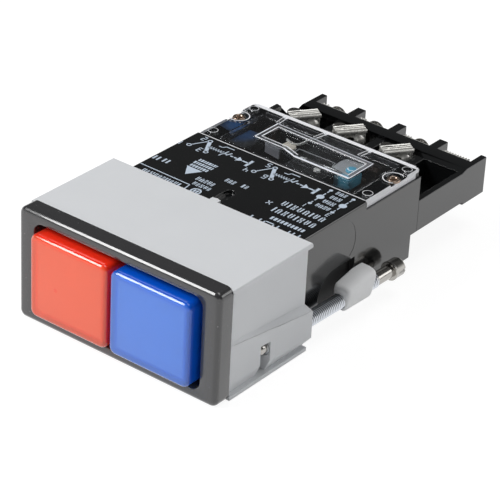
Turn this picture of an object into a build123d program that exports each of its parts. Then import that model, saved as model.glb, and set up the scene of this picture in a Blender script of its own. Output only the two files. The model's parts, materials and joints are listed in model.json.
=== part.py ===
"""Illuminated push button switch with two lenses, side mounting screws and a terminal tray.

Millimetres. The origin is the middle of the panel seat, which is the rear rim of the
mounting sleeve. X runs to the right, Y to the rear of the panel, and Z up.
"""
import os
from math import cos, radians, sin

from build123d import *

os.makedirs("parts", exist_ok=True)

# front bezel and the lenses in it
bezel_over = 0.8
bezel_height = 23.8
bezel_depth = 3.8
bezel_edge = 1.0
bezel_corner = 1.4
lens_height = 17.6
lens_split = 0.7
lens_gap = 0.95
lens_proud = 2.3
lens_depth = 6.5
lens_wall = 1.0
lens_edge = 0.9
lens_corner = 1.5
diffuser_margin = 1.25
diffuser_thick = 1.5

# mounting sleeve
sleeve_depth = 22.9
sleeve_half = 23.2
plate_over = 1.1
plate_thick = 0.85
plate_top = 11.44
flange_over = 1.0
flange_thick = 0.85
flange_bottom = -11.75
boss_rise = 2.0
boss_root = 0.5
boss_lift = 1.8
boss_top = -1.9
boss_flat_top = -2.6
boss_flat_bottom = -8.4
boss_bottom = -10.8
boss_front_rise = 0.2
slot_from = -14.0
slot_to = -10.0
slot_wall = 0.4
nub_width = 2.0
nub_centre = -0.35
nub_length = 2.4
mouth_radius = 1.75
mouth_depth = 0.5

# switch housing
sleeve_step = 2.3
housing_top = 10.2
housing_bottom = -9.3
housing_length = 39.6
neck_step = 0.9
neck_drop = 0.5
shoulder_sink = 0.5
neck_length = 8.0
neck_wall = 1.1
neck_corner = 1.5
housing_wall = 1.5
side_wall = 4.4
deck_top = 8.4
deck_front = 21.5
lower_rear = 37.7
rear_wall = 1.6
floor_front = 8.0
floor_thick = 2.0
divider = 1.0
fit = 0.1
pocket_front = 7.4
pocket_rear = 18.6
pocket_top = -0.7
pocket_deep = 1.1
pocket_round = 5.0
snap_slot_length = 7.3
snap_slot_deep = 0.8

# buttons, lamps and springs
travel = 3.0
air = 0.3
frame_wall = 1.2
frame_gap = 0.6
frame_rear = -1.0
collar_step = 0.1
post_radius = 2.5
post_front = -4.5
lamp_base_radius = 1.5
lamp_base_front = -5.5
lamp_base_length = 8.5
lamp_glass_radius = 2.2
lamp_glass_length = 6.5
spring_inner = 3.2
spring_outer = 3.8
stem_width = 2.4
stem_height = 2.2
stem_bottom = 4.8
red_stem_gap = 2.5
blue_stem_gap = 3.4
actuator_width = 3.6
actuator_front = 29.0
actuator_length = 3.5
actuator_top = 8.2
knob_radius = 1.15
knob_top = 9.1
bridge_thick = 0.4
bridge_width = 3.2
contact_gap = 0.4

# clear cover and its rivets
cover_step = 0.4
cover_top = 10.23
cover_thick = 0.8
cover_wall = 1.2
cover_rear_gap = 0.1
cover_corner = 2.0
rivet_inset = 1.8
rivet_y = 32.6
rivet_radius = 1.55
rivet_shank = 1.1
rivet_length = 4.5
well_radius = 2.8
well_deep = 0.6
pin_inset = 1.9
pin_radius = 0.95
pin_length = 1.8
pin_front_y = 24.2
pin_rear_y = 37.3
window_left_gap = 4.5
window_right_gap = 3.2
window_front = 26.4
window_rear = 35.3
window_rim = 0.7
window_rise = 0.25
block_width = 5.4
block_gap = 0.5
block_front = 27.5
block_rear = 32.5
block_top = 9.0
island_left = -1.5
island_right = 7.6

# terminal tray
tray_length = 24.0
tray_bottom = -4.0
tray_floor = 1.4
tray_side = 1.4
tray_top = 3.0
tray_rise = 0.55
ramp_start = 8.6
ramp_end = 7.2
cross_inset = 3.9
rib_spare = 0.2
rib_width = 2.1
tray_front_wall = 1.0
tray_foot_length = 7.7
tray_foot = 0.6
post_start = 19.6
post_end = 16.1
post_slope = 12.2
post_top = 7.0
head_relief = 0.8

# terminals
clamp_angle = 54.0
clamp_side_gap = 1.1
clamp_thick = 0.8
clamp_top = 5.2
clamp_drop = 0.7
clamp_insets = [4.3, 5.15, 2.2]
clamp_setbacks = [13.7, 12.7, 12.0]
tab_width = 6.0
tab_thick = 0.8
tab_back = 2.2
tab_foot_width = 2.8
collar_radius = 1.9
terminal_screw_drop = 2.6
terminal_shank = 1.2
terminal_head = 2.0
terminal_head_thick = 1.2
slot_width = 0.5
slot_deep = 0.5
rear_plate_side_gap = 2.0
rear_plate_thick = 0.8
rear_plate_top = 3.3
rear_plate_flange = 1.9
rear_plate_outer_shift = 0.1
rear_plate_inner_shift = 0.55
rear_screw_offset = 0.8
rear_screw_z = 1.0
rear_head = 2.2
rear_head_thick = 1.5

# side mounting screws and claws
screw_inset = 0.35
screw_z = -6.3
screw_splay = 1.8
screw_radius = 1.5
shank_radius = 1.3
thread_end = 22.0
screw_front = -13.4
head_front = 27.6
head_radius = 1.85
head_length = 4.0
head_rim = 0.6
head_rim_radius = 2.0
running = 0.06
ring_radius = 1.75
ring_front = -12.6
ring_length = 1.8
claw_front = 11.1
claw_length = 8.4
claw_inner = 1.6
claw_foot = 1.0
claw_bulge = 2.43
claw_low = 1.75
claw_high = 4.6
claw_over = 0.1
claw_slope_length = 4.9
claw_slope_drop = 1.4

# sizes that follow from those above
plate_half = sleeve_half + plate_over
flange_half = sleeve_half + flange_over
boss_half = sleeve_half + boss_rise
screw_x = sleeve_half - screw_inset
bezel_width = 2 * (sleeve_half + bezel_over)
bezel_front = -sleeve_depth - bezel_depth
housing_half = sleeve_half - sleeve_step
neck_half = housing_half - neck_step
opening_half_x = neck_half + fit
opening_half_z = lens_height / 2 + lens_gap
lens_front = bezel_front - lens_proud
lens_width = opening_half_x - lens_gap - lens_split / 2
lens_pitch = lens_width + lens_split
lens_x = lens_pitch / 2
neck_top = housing_top - neck_drop
chamber_half = neck_half - neck_wall
chamber_top = neck_top - neck_wall
chamber_bottom = housing_bottom + neck_wall
floor_rear = floor_front + floor_thick
pit_half = housing_half - side_wall
pit_rear = housing_length - rear_wall
red_stem_x = red_stem_gap - pit_half
blue_stem_x = island_right + blue_stem_gap
frame_half_x = chamber_half - frame_gap - lens_x
frame_half_z = lens_height / 2 - lens_wall
frame_front = lens_front + lens_depth + fit
cover_half = housing_half - cover_step
rivet_x = housing_half - rivet_inset
pin_x = housing_half - pin_inset
window_left = window_left_gap - pit_half
window_right = pit_half - window_right_gap
block_right = island_left - block_gap
block_left = block_right - block_width
tray_front = housing_length
tray_rear = tray_front + tray_length
tray_inside = housing_half - tray_side
tray_base = tray_bottom + tray_floor
ramp_from = tray_rear - ramp_start
ramp_to = tray_rear - ramp_end
cross_rear = tray_rear - cross_inset
tray_foot_from = tray_rear - tray_foot_length
post_from = tray_rear - post_start
post_to = tray_rear - post_end
post_foot = tray_rear - post_slope
rib_pitch = (2 * housing_half - rib_spare) / 4
clamp_width = rib_pitch - rib_width - clamp_side_gap
clamp_xs = [
    clamp_insets[0] - tray_inside,
    clamp_insets[1] + rib_width / 2 - rib_pitch,
    rib_pitch - rib_width / 2 - clamp_insets[2],
]
rear_plate_width = rib_pitch - rib_width - rear_plate_side_gap
rear_plate_outer = 1.5 * rib_pitch - rear_plate_outer_shift
rear_plate_inner = 0.5 * rib_pitch + rear_plate_inner_shift
rear_plate_xs = [-rear_plate_outer, -rear_plate_inner, rear_plate_inner, rear_plate_outer]
clamp_depth = tab_back + tab_thick
splay = radians(screw_splay)


def across(y):
    """The plane that stands across the depth at y, with its local axes along X and Z."""
    return Plane.XZ.offset(-y)


def screw_plane(side, distance):
    """The plane square to one side's screw, with its local Y up and its normal to the rear."""
    lean = Vector(side * sin(splay), cos(splay), 0)
    start = Vector(side * screw_x, 0, screw_z) + lean * distance
    return Plane(origin=start, x_dir=(-cos(splay), side * sin(splay), 0), z_dir=lean)


# front bezel
with BuildPart() as front_bezel:
    with BuildSketch(across(bezel_front)):
        RectangleRounded(bezel_width, bezel_height, bezel_corner)
    extrude(amount=-bezel_depth)
    fillet(front_bezel.faces().sort_by(Axis.Y)[0].edges(), bezel_edge)
    with BuildSketch(across(bezel_front)):
        RectangleRounded(2 * opening_half_x, 2 * opening_half_z, 2.0)
    extrude(amount=-bezel_depth, mode=Mode.SUBTRACT)

front_bezel.part.label = "front_bezel"
export_step(front_bezel.part, "parts/front_bezel.step")

# mounting sleeve with its side bosses
wall_top = plate_top - plate_thick
wall_bottom = flange_bottom + flange_thick
with BuildPart() as mounting_sleeve:
    with BuildSketch(across(-sleeve_depth)):
        Polygon(
            (-sleeve_half, wall_bottom),
            (sleeve_half, wall_bottom),
            (sleeve_half, wall_top),
            (-sleeve_half, wall_top),
            align=None,
        )
    extrude(amount=-sleeve_depth)
    with BuildSketch(across(-sleeve_depth)):
        Polygon(
            (-plate_half, wall_top),
            (plate_half, wall_top),
            (plate_half, plate_top),
            (-plate_half, plate_top),
            align=None,
        )
    extrude(amount=-sleeve_depth)
    chamfer(mounting_sleeve.edges().filter_by(Axis.Y).group_by(Axis.Z)[-1], 0.25)
    with BuildSketch(across(-sleeve_depth)):
        Polygon(
            (-flange_half, flange_bottom),
            (flange_half, flange_bottom),
            (flange_half, wall_bottom),
            (-flange_half, wall_bottom),
            align=None,
        )
    extrude(amount=-sleeve_depth)
    for side in (-1, 1):
        with BuildSketch(across(0)):
            Polygon(
                (side * (sleeve_half - boss_root), boss_top),
                (side * sleeve_half, boss_top),
                (side * boss_half, boss_flat_top),
                (side * boss_half, boss_flat_bottom),
                (side * sleeve_half, boss_bottom),
                (side * (sleeve_half - boss_root), boss_bottom),
                align=None,
            )
        with BuildSketch(across(-sleeve_depth)):
            Polygon(
                (side * (sleeve_half - boss_root), boss_top + boss_lift),
                (side * sleeve_half, boss_top + boss_lift),
                (side * (sleeve_half + boss_front_rise), boss_flat_top + boss_lift),
                (side * (sleeve_half + boss_front_rise), boss_flat_bottom),
                (side * sleeve_half, boss_bottom),
                (side * (sleeve_half - boss_root), boss_bottom),
                align=None,
            )
        loft()
    with BuildSketch(across(-sleeve_depth)):
        RectangleRounded(2 * opening_half_x, 2 * opening_half_z, neck_corner)
    extrude(amount=-sleeve_depth, mode=Mode.SUBTRACT)
    slot_inner = opening_half_x + slot_wall
    with BuildSketch(across(slot_from)):
        for side in (-1, 1):
            Polygon(
                (side * slot_inner, wall_bottom),
                (side * (boss_half + 1), wall_bottom),
                (side * (boss_half + 1), boss_top),
                (side * slot_inner, boss_top),
                align=None,
            )
    extrude(amount=slot_from - slot_to, mode=Mode.SUBTRACT)
    with BuildSketch(across(-shoulder_sink)):
        with Locations((0, (housing_top + housing_bottom) / 2)):
            Rectangle(2 * (housing_half + fit), housing_top - housing_bottom + 2 * fit)
    extrude(amount=-shoulder_sink, mode=Mode.SUBTRACT)
    for side in (-1, 1):
        with BuildSketch(screw_plane(side, slot_to - 1)):
            Circle(screw_radius + running)
        extrude(amount=-slot_to + 3, mode=Mode.SUBTRACT)
        with Locations(screw_plane(side, -mouth_depth)):
            Cone(
                screw_radius + running,
                mouth_radius,
                mouth_depth,
                align=(Align.CENTER, Align.CENTER, Align.MIN),
                mode=Mode.SUBTRACT,
            )
        with BuildSketch(screw_plane(side, 0)):
            Circle(mouth_radius)
        extrude(amount=1, mode=Mode.SUBTRACT)
    nub_top = housing_top + 0.3
    with BuildSketch(across(-shoulder_sink)):
        Polygon(
            (nub_centre - nub_width / 2, housing_top - snap_slot_deep + fit),
            (nub_centre + nub_width / 2, housing_top - snap_slot_deep + fit),
            (nub_centre + nub_width / 2, nub_top),
            (nub_centre - nub_width / 2, nub_top),
            align=None,
        )
    extrude(amount=-(nub_length + shoulder_sink))

mounting_sleeve.part.label = "mounting_sleeve"
export_step(mounting_sleeve.part, "parts/mounting_sleeve.step")

# switch housing: neck in the sleeve, button chamber, contact pit and deck for the cover
housing_middle = (housing_top + housing_bottom) / 2
with BuildPart() as switch_housing:
    with BuildSketch(across(-shoulder_sink)):
        with Locations((0, housing_middle)):
            RectangleRounded(2 * housing_half, housing_top - housing_bottom, 0.5)
    extrude(amount=-(housing_length + shoulder_sink))
    with BuildSketch(across(-neck_length)):
        with Locations((0, (neck_top + housing_bottom) / 2)):
            RectangleRounded(2 * neck_half, neck_top - housing_bottom, neck_corner)
    extrude(amount=-neck_length)
    with BuildSketch(across(deck_front)):
        with Locations((0, housing_top)):
            Rectangle(2 * housing_half + 2, 2 * (housing_top - deck_top))
    extrude(amount=-(housing_length - deck_front + 1), mode=Mode.SUBTRACT)
    with BuildSketch(across(lower_rear)):
        with Locations((0, housing_bottom + (tray_bottom - housing_bottom) / 2)):
            Rectangle(2 * housing_half, tray_bottom - housing_bottom)
    extrude(amount=-(housing_length - lower_rear + 1), mode=Mode.SUBTRACT)
    with BuildSketch(across(-neck_length)):
        for side in (-1, 1):
            Polygon(
                (side * divider / 2, chamber_bottom),
                (side * chamber_half, chamber_bottom),
                (side * chamber_half, chamber_top),
                (side * divider / 2, chamber_top),
                align=None,
            )
    extrude(amount=-(neck_length + floor_front), mode=Mode.SUBTRACT)
    with BuildSketch(across(floor_front)):
        with Locations((0, (chamber_top + chamber_bottom) / 2)):
            Rectangle(2 * chamber_half, chamber_top - chamber_bottom)
    extrude(amount=-floor_thick, mode=Mode.SUBTRACT)
    with BuildSketch(across(floor_rear)):
        with Locations((0, (chamber_top + tray_bottom) / 2)):
            Rectangle(2 * pit_half, chamber_top - tray_bottom)
    extrude(amount=-(pit_rear - floor_rear), mode=Mode.SUBTRACT)
    with BuildSketch(across(floor_rear)):
        with Locations((0, (chamber_bottom + tray_bottom) / 2)):
            Rectangle(2 * pit_half, tray_bottom - chamber_bottom)
    extrude(amount=-(lower_rear - housing_wall - floor_rear), mode=Mode.SUBTRACT)
    with BuildSketch(across(deck_front + 2.0)):
        with Locations(((island_left + island_right) / 2, (deck_top + tray_bottom) / 2)):
            Rectangle(island_right - island_left, deck_top - tray_bottom)
    extrude(amount=-(pit_rear - deck_front - 2.0))
    with BuildSketch(Plane.XY.offset(deck_top)):
        with Locations((pin_x, pin_front_y), (-pin_x, pin_front_y), (pin_x, pin_rear_y), (-pin_x, pin_rear_y)):
            Circle(pin_radius + fit)
    extrude(amount=-(pin_length + fit), mode=Mode.SUBTRACT)
    with BuildSketch(Plane.XY.offset(deck_top)):
        with Locations((rivet_x, rivet_y), (-rivet_x, rivet_y)):
            Circle(rivet_shank + fit)
    extrude(amount=-(rivet_length + fit), mode=Mode.SUBTRACT)
    with BuildSketch(Plane.XY.offset(housing_top)):
        with Locations((nub_centre, 0)):
            SlotOverall(2 * snap_slot_length, nub_width + 2 * fit, rotation=90)
    extrude(amount=-snap_slot_deep, mode=Mode.SUBTRACT)
    for side in (-1, 1):
        with BuildSketch(Plane.YZ.offset(side * (housing_half - pocket_deep))):
            with BuildLine():
                Polyline(
                    (pocket_front, pocket_top - pocket_round),
                    (pocket_front, housing_bottom - 1),
                    (pocket_rear, housing_bottom - 1),
                    (pocket_rear, pocket_top),
                    (pocket_front + pocket_round, pocket_top),
                )
                RadiusArc(
                    (pocket_front + pocket_round, pocket_top),
                    (pocket_front, pocket_top - pocket_round),
                    -pocket_round,
                )
            make_face()
        extrude(amount=side * (pocket_deep + 1), mode=Mode.SUBTRACT)

switch_housing.part.label = "switch_housing"
export_step(switch_housing.part, "parts/switch_housing.step")

# inner base with the posts that carry lamps and springs, and the slots for the stems
with BuildPart() as inner_base:
    with BuildSketch(across(floor_front)):
        with Locations((0, (chamber_top + chamber_bottom) / 2)):
            Rectangle(2 * (chamber_half - fit), chamber_top - chamber_bottom - 2 * fit)
    extrude(amount=-floor_thick)
    with BuildSketch(across(post_front)):
        with Locations((-lens_x, 0), (lens_x, 0)):
            Circle(post_radius)
    extrude(amount=-(floor_front - post_front))
    with BuildSketch(across(post_front)):
        with Locations((-lens_x, 0), (lens_x, 0)):
            Circle(lamp_base_radius + fit)
    extrude(amount=-(floor_front - post_front), mode=Mode.SUBTRACT)
    with BuildSketch(across(floor_front)):
        with Locations(
            (red_stem_x, stem_bottom + stem_height / 2),
            (blue_stem_x, stem_bottom + stem_height / 2),
        ):
            Rectangle(stem_width + 2 * air, stem_height + 2 * air)
    extrude(amount=-floor_thick, mode=Mode.SUBTRACT)

inner_base.part.label = "inner_base"
export_step(inner_base.part, "parts/inner_base.step")

# one button unit on each side: lens, diffuser, frame, stem, bridge, spring and lamp
for colour, side, stem_x in (("red", -1, red_stem_x), ("blue", 1, blue_stem_x)):
    centre = side * lens_x

    with BuildPart() as lens:
        with BuildSketch(across(lens_front)):
            with Locations((centre, 0)):
                RectangleRounded(lens_width, lens_height, lens_corner)
        extrude(amount=-lens_depth)
        fillet(lens.faces().sort_by(Axis.Y)[0].edges(), lens_edge)
        with BuildSketch(across(lens_front + lens_wall)):
            with Locations((centre, 0)):
                RectangleRounded(
                    lens_width - 2 * lens_wall,
                    lens_height - 2 * lens_wall,
                    lens_corner / 2,
                )
        extrude(amount=-(lens_depth - lens_wall), mode=Mode.SUBTRACT)

    lens.part.label = colour + "_lens"
    export_step(lens.part, "parts/" + colour + "_lens.step")

    with BuildPart() as diffuser:
        with BuildSketch(across(lens_front + lens_wall)):
            with Locations((centre, 0)):
                RectangleRounded(
                    lens_width - 2 * diffuser_margin,
                    lens_height - 2 * diffuser_margin,
                    lens_corner / 2,
                )
        extrude(amount=-diffuser_thick)

    diffuser.part.label = colour + "_diffuser"
    export_step(diffuser.part, "parts/" + colour + "_diffuser.step")

    collar_front = lens_front + lens_wall + diffuser_thick
    with BuildPart() as button_frame:
        with BuildSketch(across(frame_front)):
            with Locations((centre, 0)):
                Rectangle(2 * frame_half_x, 2 * frame_half_z)
        extrude(amount=-(frame_rear - frame_front))
        with BuildSketch(across(collar_front)):
            with Locations((centre, 0)):
                RectangleRounded(
                    lens_width - 2 * (lens_wall + collar_step),
                    lens_height - 2 * (lens_wall + collar_step),
                    lens_corner / 2,
                )
        extrude(amount=-(frame_front - collar_front))
        with BuildSketch(across(collar_front)):
            with Locations((centre, 0)):
                Rectangle(2 * (frame_half_x - frame_wall), 2 * (frame_half_z - frame_wall))
        extrude(amount=-(frame_rear - frame_wall - collar_front), mode=Mode.SUBTRACT)
        with BuildSketch(across(frame_rear - frame_wall)):
            with Locations((centre, 0)):
                Circle(post_radius + 0.4)
        extrude(amount=-frame_wall, mode=Mode.SUBTRACT)

    button_frame.part.label = colour + "_button_frame"
    export_step(button_frame.part, "parts/" + colour + "_button_frame.step")

    with BuildPart() as plunger:
        with BuildSketch(across(frame_rear)):
            with Locations((stem_x, stem_bottom + stem_height / 2)):
                Rectangle(stem_width, stem_height)
        extrude(amount=-(actuator_front - frame_rear))
        with BuildSketch(across(actuator_front)):
            with Locations((stem_x, (stem_bottom + actuator_top) / 2)):
                Rectangle(actuator_width, actuator_top - stem_bottom)
        extrude(amount=-actuator_length)
        fillet(plunger.faces().sort_by(Axis.Y)[-1].edges().filter_by(Axis.Z), 0.5)
        with BuildSketch(Plane.XY.offset(actuator_top)):
            with Locations((stem_x, actuator_front + actuator_length / 2)):
                Circle(knob_radius)
        extrude(amount=knob_top - actuator_top)

    plunger.part.label = colour + "_plunger"
    export_step(plunger.part, "parts/" + colour + "_plunger.step")

    bridge_front = actuator_front + actuator_length
    with BuildPart() as bridge:
        with BuildSketch(across(bridge_front)):
            with Locations((stem_x, stem_bottom + stem_height / 2)):
                RectangleRounded(bridge_width, stem_height, 0.5)
        extrude(amount=-bridge_thick)

    bridge.part.label = colour + "_contact_bridge"
    export_step(bridge.part, "parts/" + colour + "_contact_bridge.step")

    contact_front = bridge_front + bridge_thick + travel + contact_gap
    with BuildPart() as fixed_contact:
        with BuildSketch(across(contact_front)):
            with Locations((stem_x, stem_bottom + stem_height / 2)):
                RectangleRounded(bridge_width, stem_height, 0.5)
        extrude(amount=-(pit_rear - contact_front))

    fixed_contact.part.label = colour + "_fixed_contact"
    export_step(fixed_contact.part, "parts/" + colour + "_fixed_contact.step")

    with BuildPart() as spring:
        with BuildSketch(across(frame_rear + travel + air)):
            with Locations((centre, 0)):
                Circle(spring_outer)
                Circle(spring_inner, mode=Mode.SUBTRACT)
        extrude(amount=-(floor_front - frame_rear - travel - air))

    spring.part.label = colour + "_return_spring"
    export_step(spring.part, "parts/" + colour + "_return_spring.step")

    with BuildPart() as lamp_base:
        with BuildSketch(across(lamp_base_front)):
            with Locations((centre, 0)):
                Circle(lamp_base_radius)
        extrude(amount=-lamp_base_length)

    lamp_base.part.label = colour + "_lamp_base"
    export_step(lamp_base.part, "parts/" + colour + "_lamp_base.step")

    with BuildPart() as lamp_glass:
        with BuildSketch(across(lamp_base_front - lamp_glass_length)):
            with Locations((centre, 0)):
                Circle(lamp_glass_radius)
        extrude(amount=-lamp_glass_length)
        fillet(lamp_glass.faces().sort_by(Axis.Y)[0].edges(), lamp_glass_radius * 0.8)

    lamp_glass.part.label = colour + "_lamp_glass"
    export_step(lamp_glass.part, "parts/" + colour + "_lamp_glass.step")

# clear cover over the contact pit
cover_rear = housing_length - cover_rear_gap
cover_middle = (deck_front + cover_rear) / 2
cover_length = cover_rear - deck_front
window_x = (window_left + window_right) / 2
window_y = (window_front + window_rear) / 2
window_length = window_right - window_left
window_depth = window_rear - window_front
with BuildPart() as clear_cover:
    with BuildSketch(Plane.XY.offset(deck_top)):
        with Locations((0, cover_middle)):
            Rectangle(2 * cover_half, cover_length)
    extrude(amount=cover_top - deck_top)
    fillet(clear_cover.edges().filter_by(Axis.Z).group_by(Axis.Y)[-1], cover_corner)
    fillet(clear_cover.faces().sort_by(Axis.Z)[-1].edges().group_by(Axis.Y)[-1], 0.4)
    with BuildSketch(Plane.XY.offset(deck_top)):
        with Locations((0, cover_middle)):
            Rectangle(2 * pit_half, cover_length - 2 * cover_wall)
    extrude(amount=cover_top - cover_thick - deck_top, mode=Mode.SUBTRACT)
    with BuildSketch(Plane.XY.offset(cover_top)):
        for side in (-1, 1):
            with Locations((side * rivet_x, rivet_y)):
                Circle(well_radius)
            with Locations((side * (rivet_x + well_radius), rivet_y)):
                Rectangle(2 * well_radius, 2 * well_radius)
    extrude(amount=-well_deep, mode=Mode.SUBTRACT)
    with BuildSketch(Plane.XY.offset(cover_top)):
        with Locations((rivet_x, rivet_y), (-rivet_x, rivet_y)):
            Circle(rivet_shank + fit)
    extrude(amount=-(cover_top - deck_top), mode=Mode.SUBTRACT)
    with BuildSketch(Plane.XY.offset(deck_top)):
        with Locations((pin_x, pin_front_y), (-pin_x, pin_front_y), (pin_x, pin_rear_y), (-pin_x, pin_rear_y)):
            Circle(pin_radius)
    extrude(amount=-pin_length)
    with BuildSketch(Plane.XY.offset(cover_top)):
        with Locations((window_x, window_y)):
            Rectangle(window_length, window_depth)
            Rectangle(window_length - 2 * window_rim, window_depth - 2 * window_rim, mode=Mode.SUBTRACT)
    extrude(amount=window_rise)

clear_cover.part.label = "clear_cover"
export_step(clear_cover.part, "parts/clear_cover.step")

# rivets of the clear cover
well_floor = cover_top - well_deep
for side, where in ((-1, "left"), (1, "right")):
    with BuildPart() as rivet:
        with BuildSketch(Plane.XY.offset(well_floor)):
            with Locations((side * rivet_x, rivet_y)):
                Circle(rivet_radius)
        extrude(amount=well_deep - fit)
        fillet(rivet.faces().sort_by(Axis.Z)[-1].edges(), 0.3)
        with BuildSketch(Plane.XY.offset(well_floor)):
            with Locations((side * rivet_x, rivet_y)):
                Circle(rivet_shank)
        extrude(amount=-(well_floor - deck_top + rivet_length))
        with BuildSketch(Plane.XY.offset(cover_top)):
            with Locations((side * rivet_x, rivet_y)):
                Circle(rivet_shank * 0.6)
        extrude(amount=-1.5, mode=Mode.SUBTRACT)

    rivet.part.label = "cover_rivet_" + where
    export_step(rivet.part, "parts/cover_rivet_" + where + ".step")

# terminal block under the window of the clear cover
with BuildPart() as lamp_terminal_block:
    with BuildSketch(Plane.XY.offset(tray_bottom)):
        with Locations(((block_left + block_right) / 2, (block_front + block_rear) / 2)):
            Rectangle(block_right - block_left, block_rear - block_front)
    extrude(amount=block_top - tray_bottom)
    chamfer(lamp_terminal_block.edges().filter_by(Axis.Z), 0.6)

lamp_terminal_block.part.label = "lamp_terminal_block"
export_step(lamp_terminal_block.part, "parts/lamp_terminal_block.step")

# terminal tray
high_top = tray_top + tray_rise
rib_xs = (-rib_pitch, 0, rib_pitch)
with BuildPart() as terminal_tray:
    for side in (-1, 1):
        with BuildSketch(Plane.YZ.offset(side * housing_half)):
            Polygon(
                (tray_front, tray_bottom),
                (tray_rear, tray_bottom),
                (tray_rear, high_top),
                (ramp_to, high_top),
                (ramp_from, tray_top),
                (tray_front, tray_top),
                align=None,
            )
        extrude(amount=-side * tray_side)
    with BuildSketch(Plane.YZ.offset(-housing_half)):
        Polygon(
            (post_from, tray_top),
            (post_foot, tray_top),
            (post_to, post_top),
            (post_from, post_top),
            align=None,
        )
    extrude(amount=tray_side)
    with BuildSketch(Plane.XY.offset(tray_bottom)):
        with Locations((0, (tray_front + tray_rear) / 2)):
            Rectangle(2 * housing_half, tray_length)
    extrude(amount=tray_floor)
    with BuildSketch(Plane.XY.offset(tray_bottom)):
        with Locations((0, (tray_foot_from + tray_rear) / 2)):
            Rectangle(2 * housing_half, tray_rear - tray_foot_from)
    extrude(amount=-tray_foot)
    with BuildSketch(Plane.XY.offset(tray_bottom)):
        with Locations((0, tray_front + tray_front_wall / 2)):
            Rectangle(2 * housing_half, tray_front_wall)
    extrude(amount=tray_top - tray_bottom)
    with BuildSketch(Plane.YZ.offset(-housing_half)):
        Polygon(
            (ramp_from, tray_bottom),
            (cross_rear, tray_bottom),
            (cross_rear, high_top),
            (ramp_to, high_top),
            (ramp_from, tray_top),
            align=None,
        )
    extrude(amount=2 * housing_half)
    for rib_x in rib_xs:
        with BuildSketch(Plane.YZ.offset(rib_x - rib_width / 2)):
            Polygon(
                (tray_front, tray_bottom),
                (tray_rear, tray_bottom),
                (tray_rear, high_top),
                (ramp_to, high_top),
                (ramp_from, tray_top),
                (tray_front, tray_top),
                align=None,
            )
        extrude(amount=rib_width)
    # room for the clamps and their screw heads
    with BuildSketch(Plane.XY.offset(tray_base)):
        for bay in range(3):
            with Locations((rib_xs[bay] - rib_pitch / 2, (ramp_from + ramp_to) / 2 - fit)):
                Rectangle(rib_pitch - rib_width, ramp_to - ramp_from)
        with Locations((-tray_inside - head_relief / 2 + fit, (post_to + ramp_to) / 2 - fit)):
            Rectangle(head_relief + 2 * fit, ramp_to - post_to)
    extrude(amount=post_top - tray_base + 1, mode=Mode.SUBTRACT)
    with BuildSketch(across(cross_rear)):
        with Locations(*[(x + rear_screw_offset, rear_screw_z) for x in rear_plate_xs[:3]]):
            Circle(terminal_shank + fit)
    extrude(amount=2.4, mode=Mode.SUBTRACT)

terminal_tray.part.label = "terminal_tray"
export_step(terminal_tray.part, "parts/terminal_tray.step")

# front terminals: tab, clamp plate and screw in each of three bays
for number, (place_x, setback) in enumerate(zip(clamp_xs, clamp_setbacks), start=1):
    place_y = tray_rear - setback
    top = clamp_top - (clamp_drop if number == 3 else 0)
    axis_z = top - terminal_screw_drop
    turn = radians(clamp_angle)
    along = (cos(turn), sin(turn), 0)
    flat = Plane(origin=(place_x, place_y, 0), x_dir=along, z_dir=(0, 0, 1))
    back = flat.y_dir
    face = Plane(origin=(place_x, place_y, axis_z), x_dir=along, z_dir=-back)

    with BuildPart() as tab:
        with BuildSketch(flat.offset(tray_base)):
            with Locations((0, tab_back + tab_thick / 2)):
                Rectangle(tab_width, tab_thick)
        extrude(amount=top - clamp_thick - fit - tray_base)
        foot_x = place_x + back.X * (tab_back + tab_thick / 2)
        foot_rear = place_y + back.Y * (tab_back + tab_thick / 2)
        foot_front = tray_front + tray_front_wall
        with BuildSketch(Plane.XY.offset(tray_base)):
            with Locations((foot_x, (foot_front + foot_rear) / 2)):
                Rectangle(tab_foot_width, foot_rear - foot_front)
        extrude(amount=tab_thick)
        with BuildSketch(face.offset(-tab_back - tab_thick)):
            Circle(terminal_shank + fit)
        extrude(amount=tab_thick, mode=Mode.SUBTRACT)

    tab.part.label = f"front_terminal_tab_{number}"
    export_step(tab.part, f"parts/front_terminal_tab_{number}.step")

    with BuildPart() as plate:
        with BuildSketch(flat.offset(top - clamp_thick)):
            with Locations((0, clamp_depth / 2)):
                Rectangle(clamp_width, clamp_depth)
        extrude(amount=clamp_thick)
        with BuildSketch(flat.offset(top)):
            for row in (0.3, 0.6):
                with Locations((0, clamp_depth * row)):
                    Rectangle(clamp_width, 0.3)
        extrude(amount=-0.25, mode=Mode.SUBTRACT)
        with BuildSketch(flat.offset(axis_z - terminal_screw_drop + fit)):
            with Locations((0, clamp_thick)):
                Rectangle(clamp_width - 0.4, clamp_thick)
        extrude(amount=2 * terminal_screw_drop - clamp_thick)
        with BuildSketch(face):
            Circle(collar_radius)
        extrude(amount=-clamp_thick)
        with BuildSketch(face.offset(1)):
            Circle(terminal_shank + fit)
        extrude(amount=-(2 * clamp_thick + 1), mode=Mode.SUBTRACT)

    plate.part.label = f"front_clamp_plate_{number}"
    export_step(plate.part, f"parts/front_clamp_plate_{number}.step")

    head_start = tab_back + tab_thick
    with BuildPart() as screw:
        with BuildSketch(face):
            Circle(terminal_shank)
        extrude(amount=-head_start)
        with BuildSketch(face.offset(-head_start)):
            Circle(terminal_head)
        extrude(amount=-terminal_head_thick)
        with BuildSketch(face.offset(-head_start - terminal_head_thick)):
            Rectangle(2 * terminal_head, slot_width)
        extrude(amount=slot_deep, mode=Mode.SUBTRACT)

    screw.part.label = f"front_terminal_screw_{number}"
    export_step(screw.part, f"parts/front_terminal_screw_{number}.step")

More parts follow.
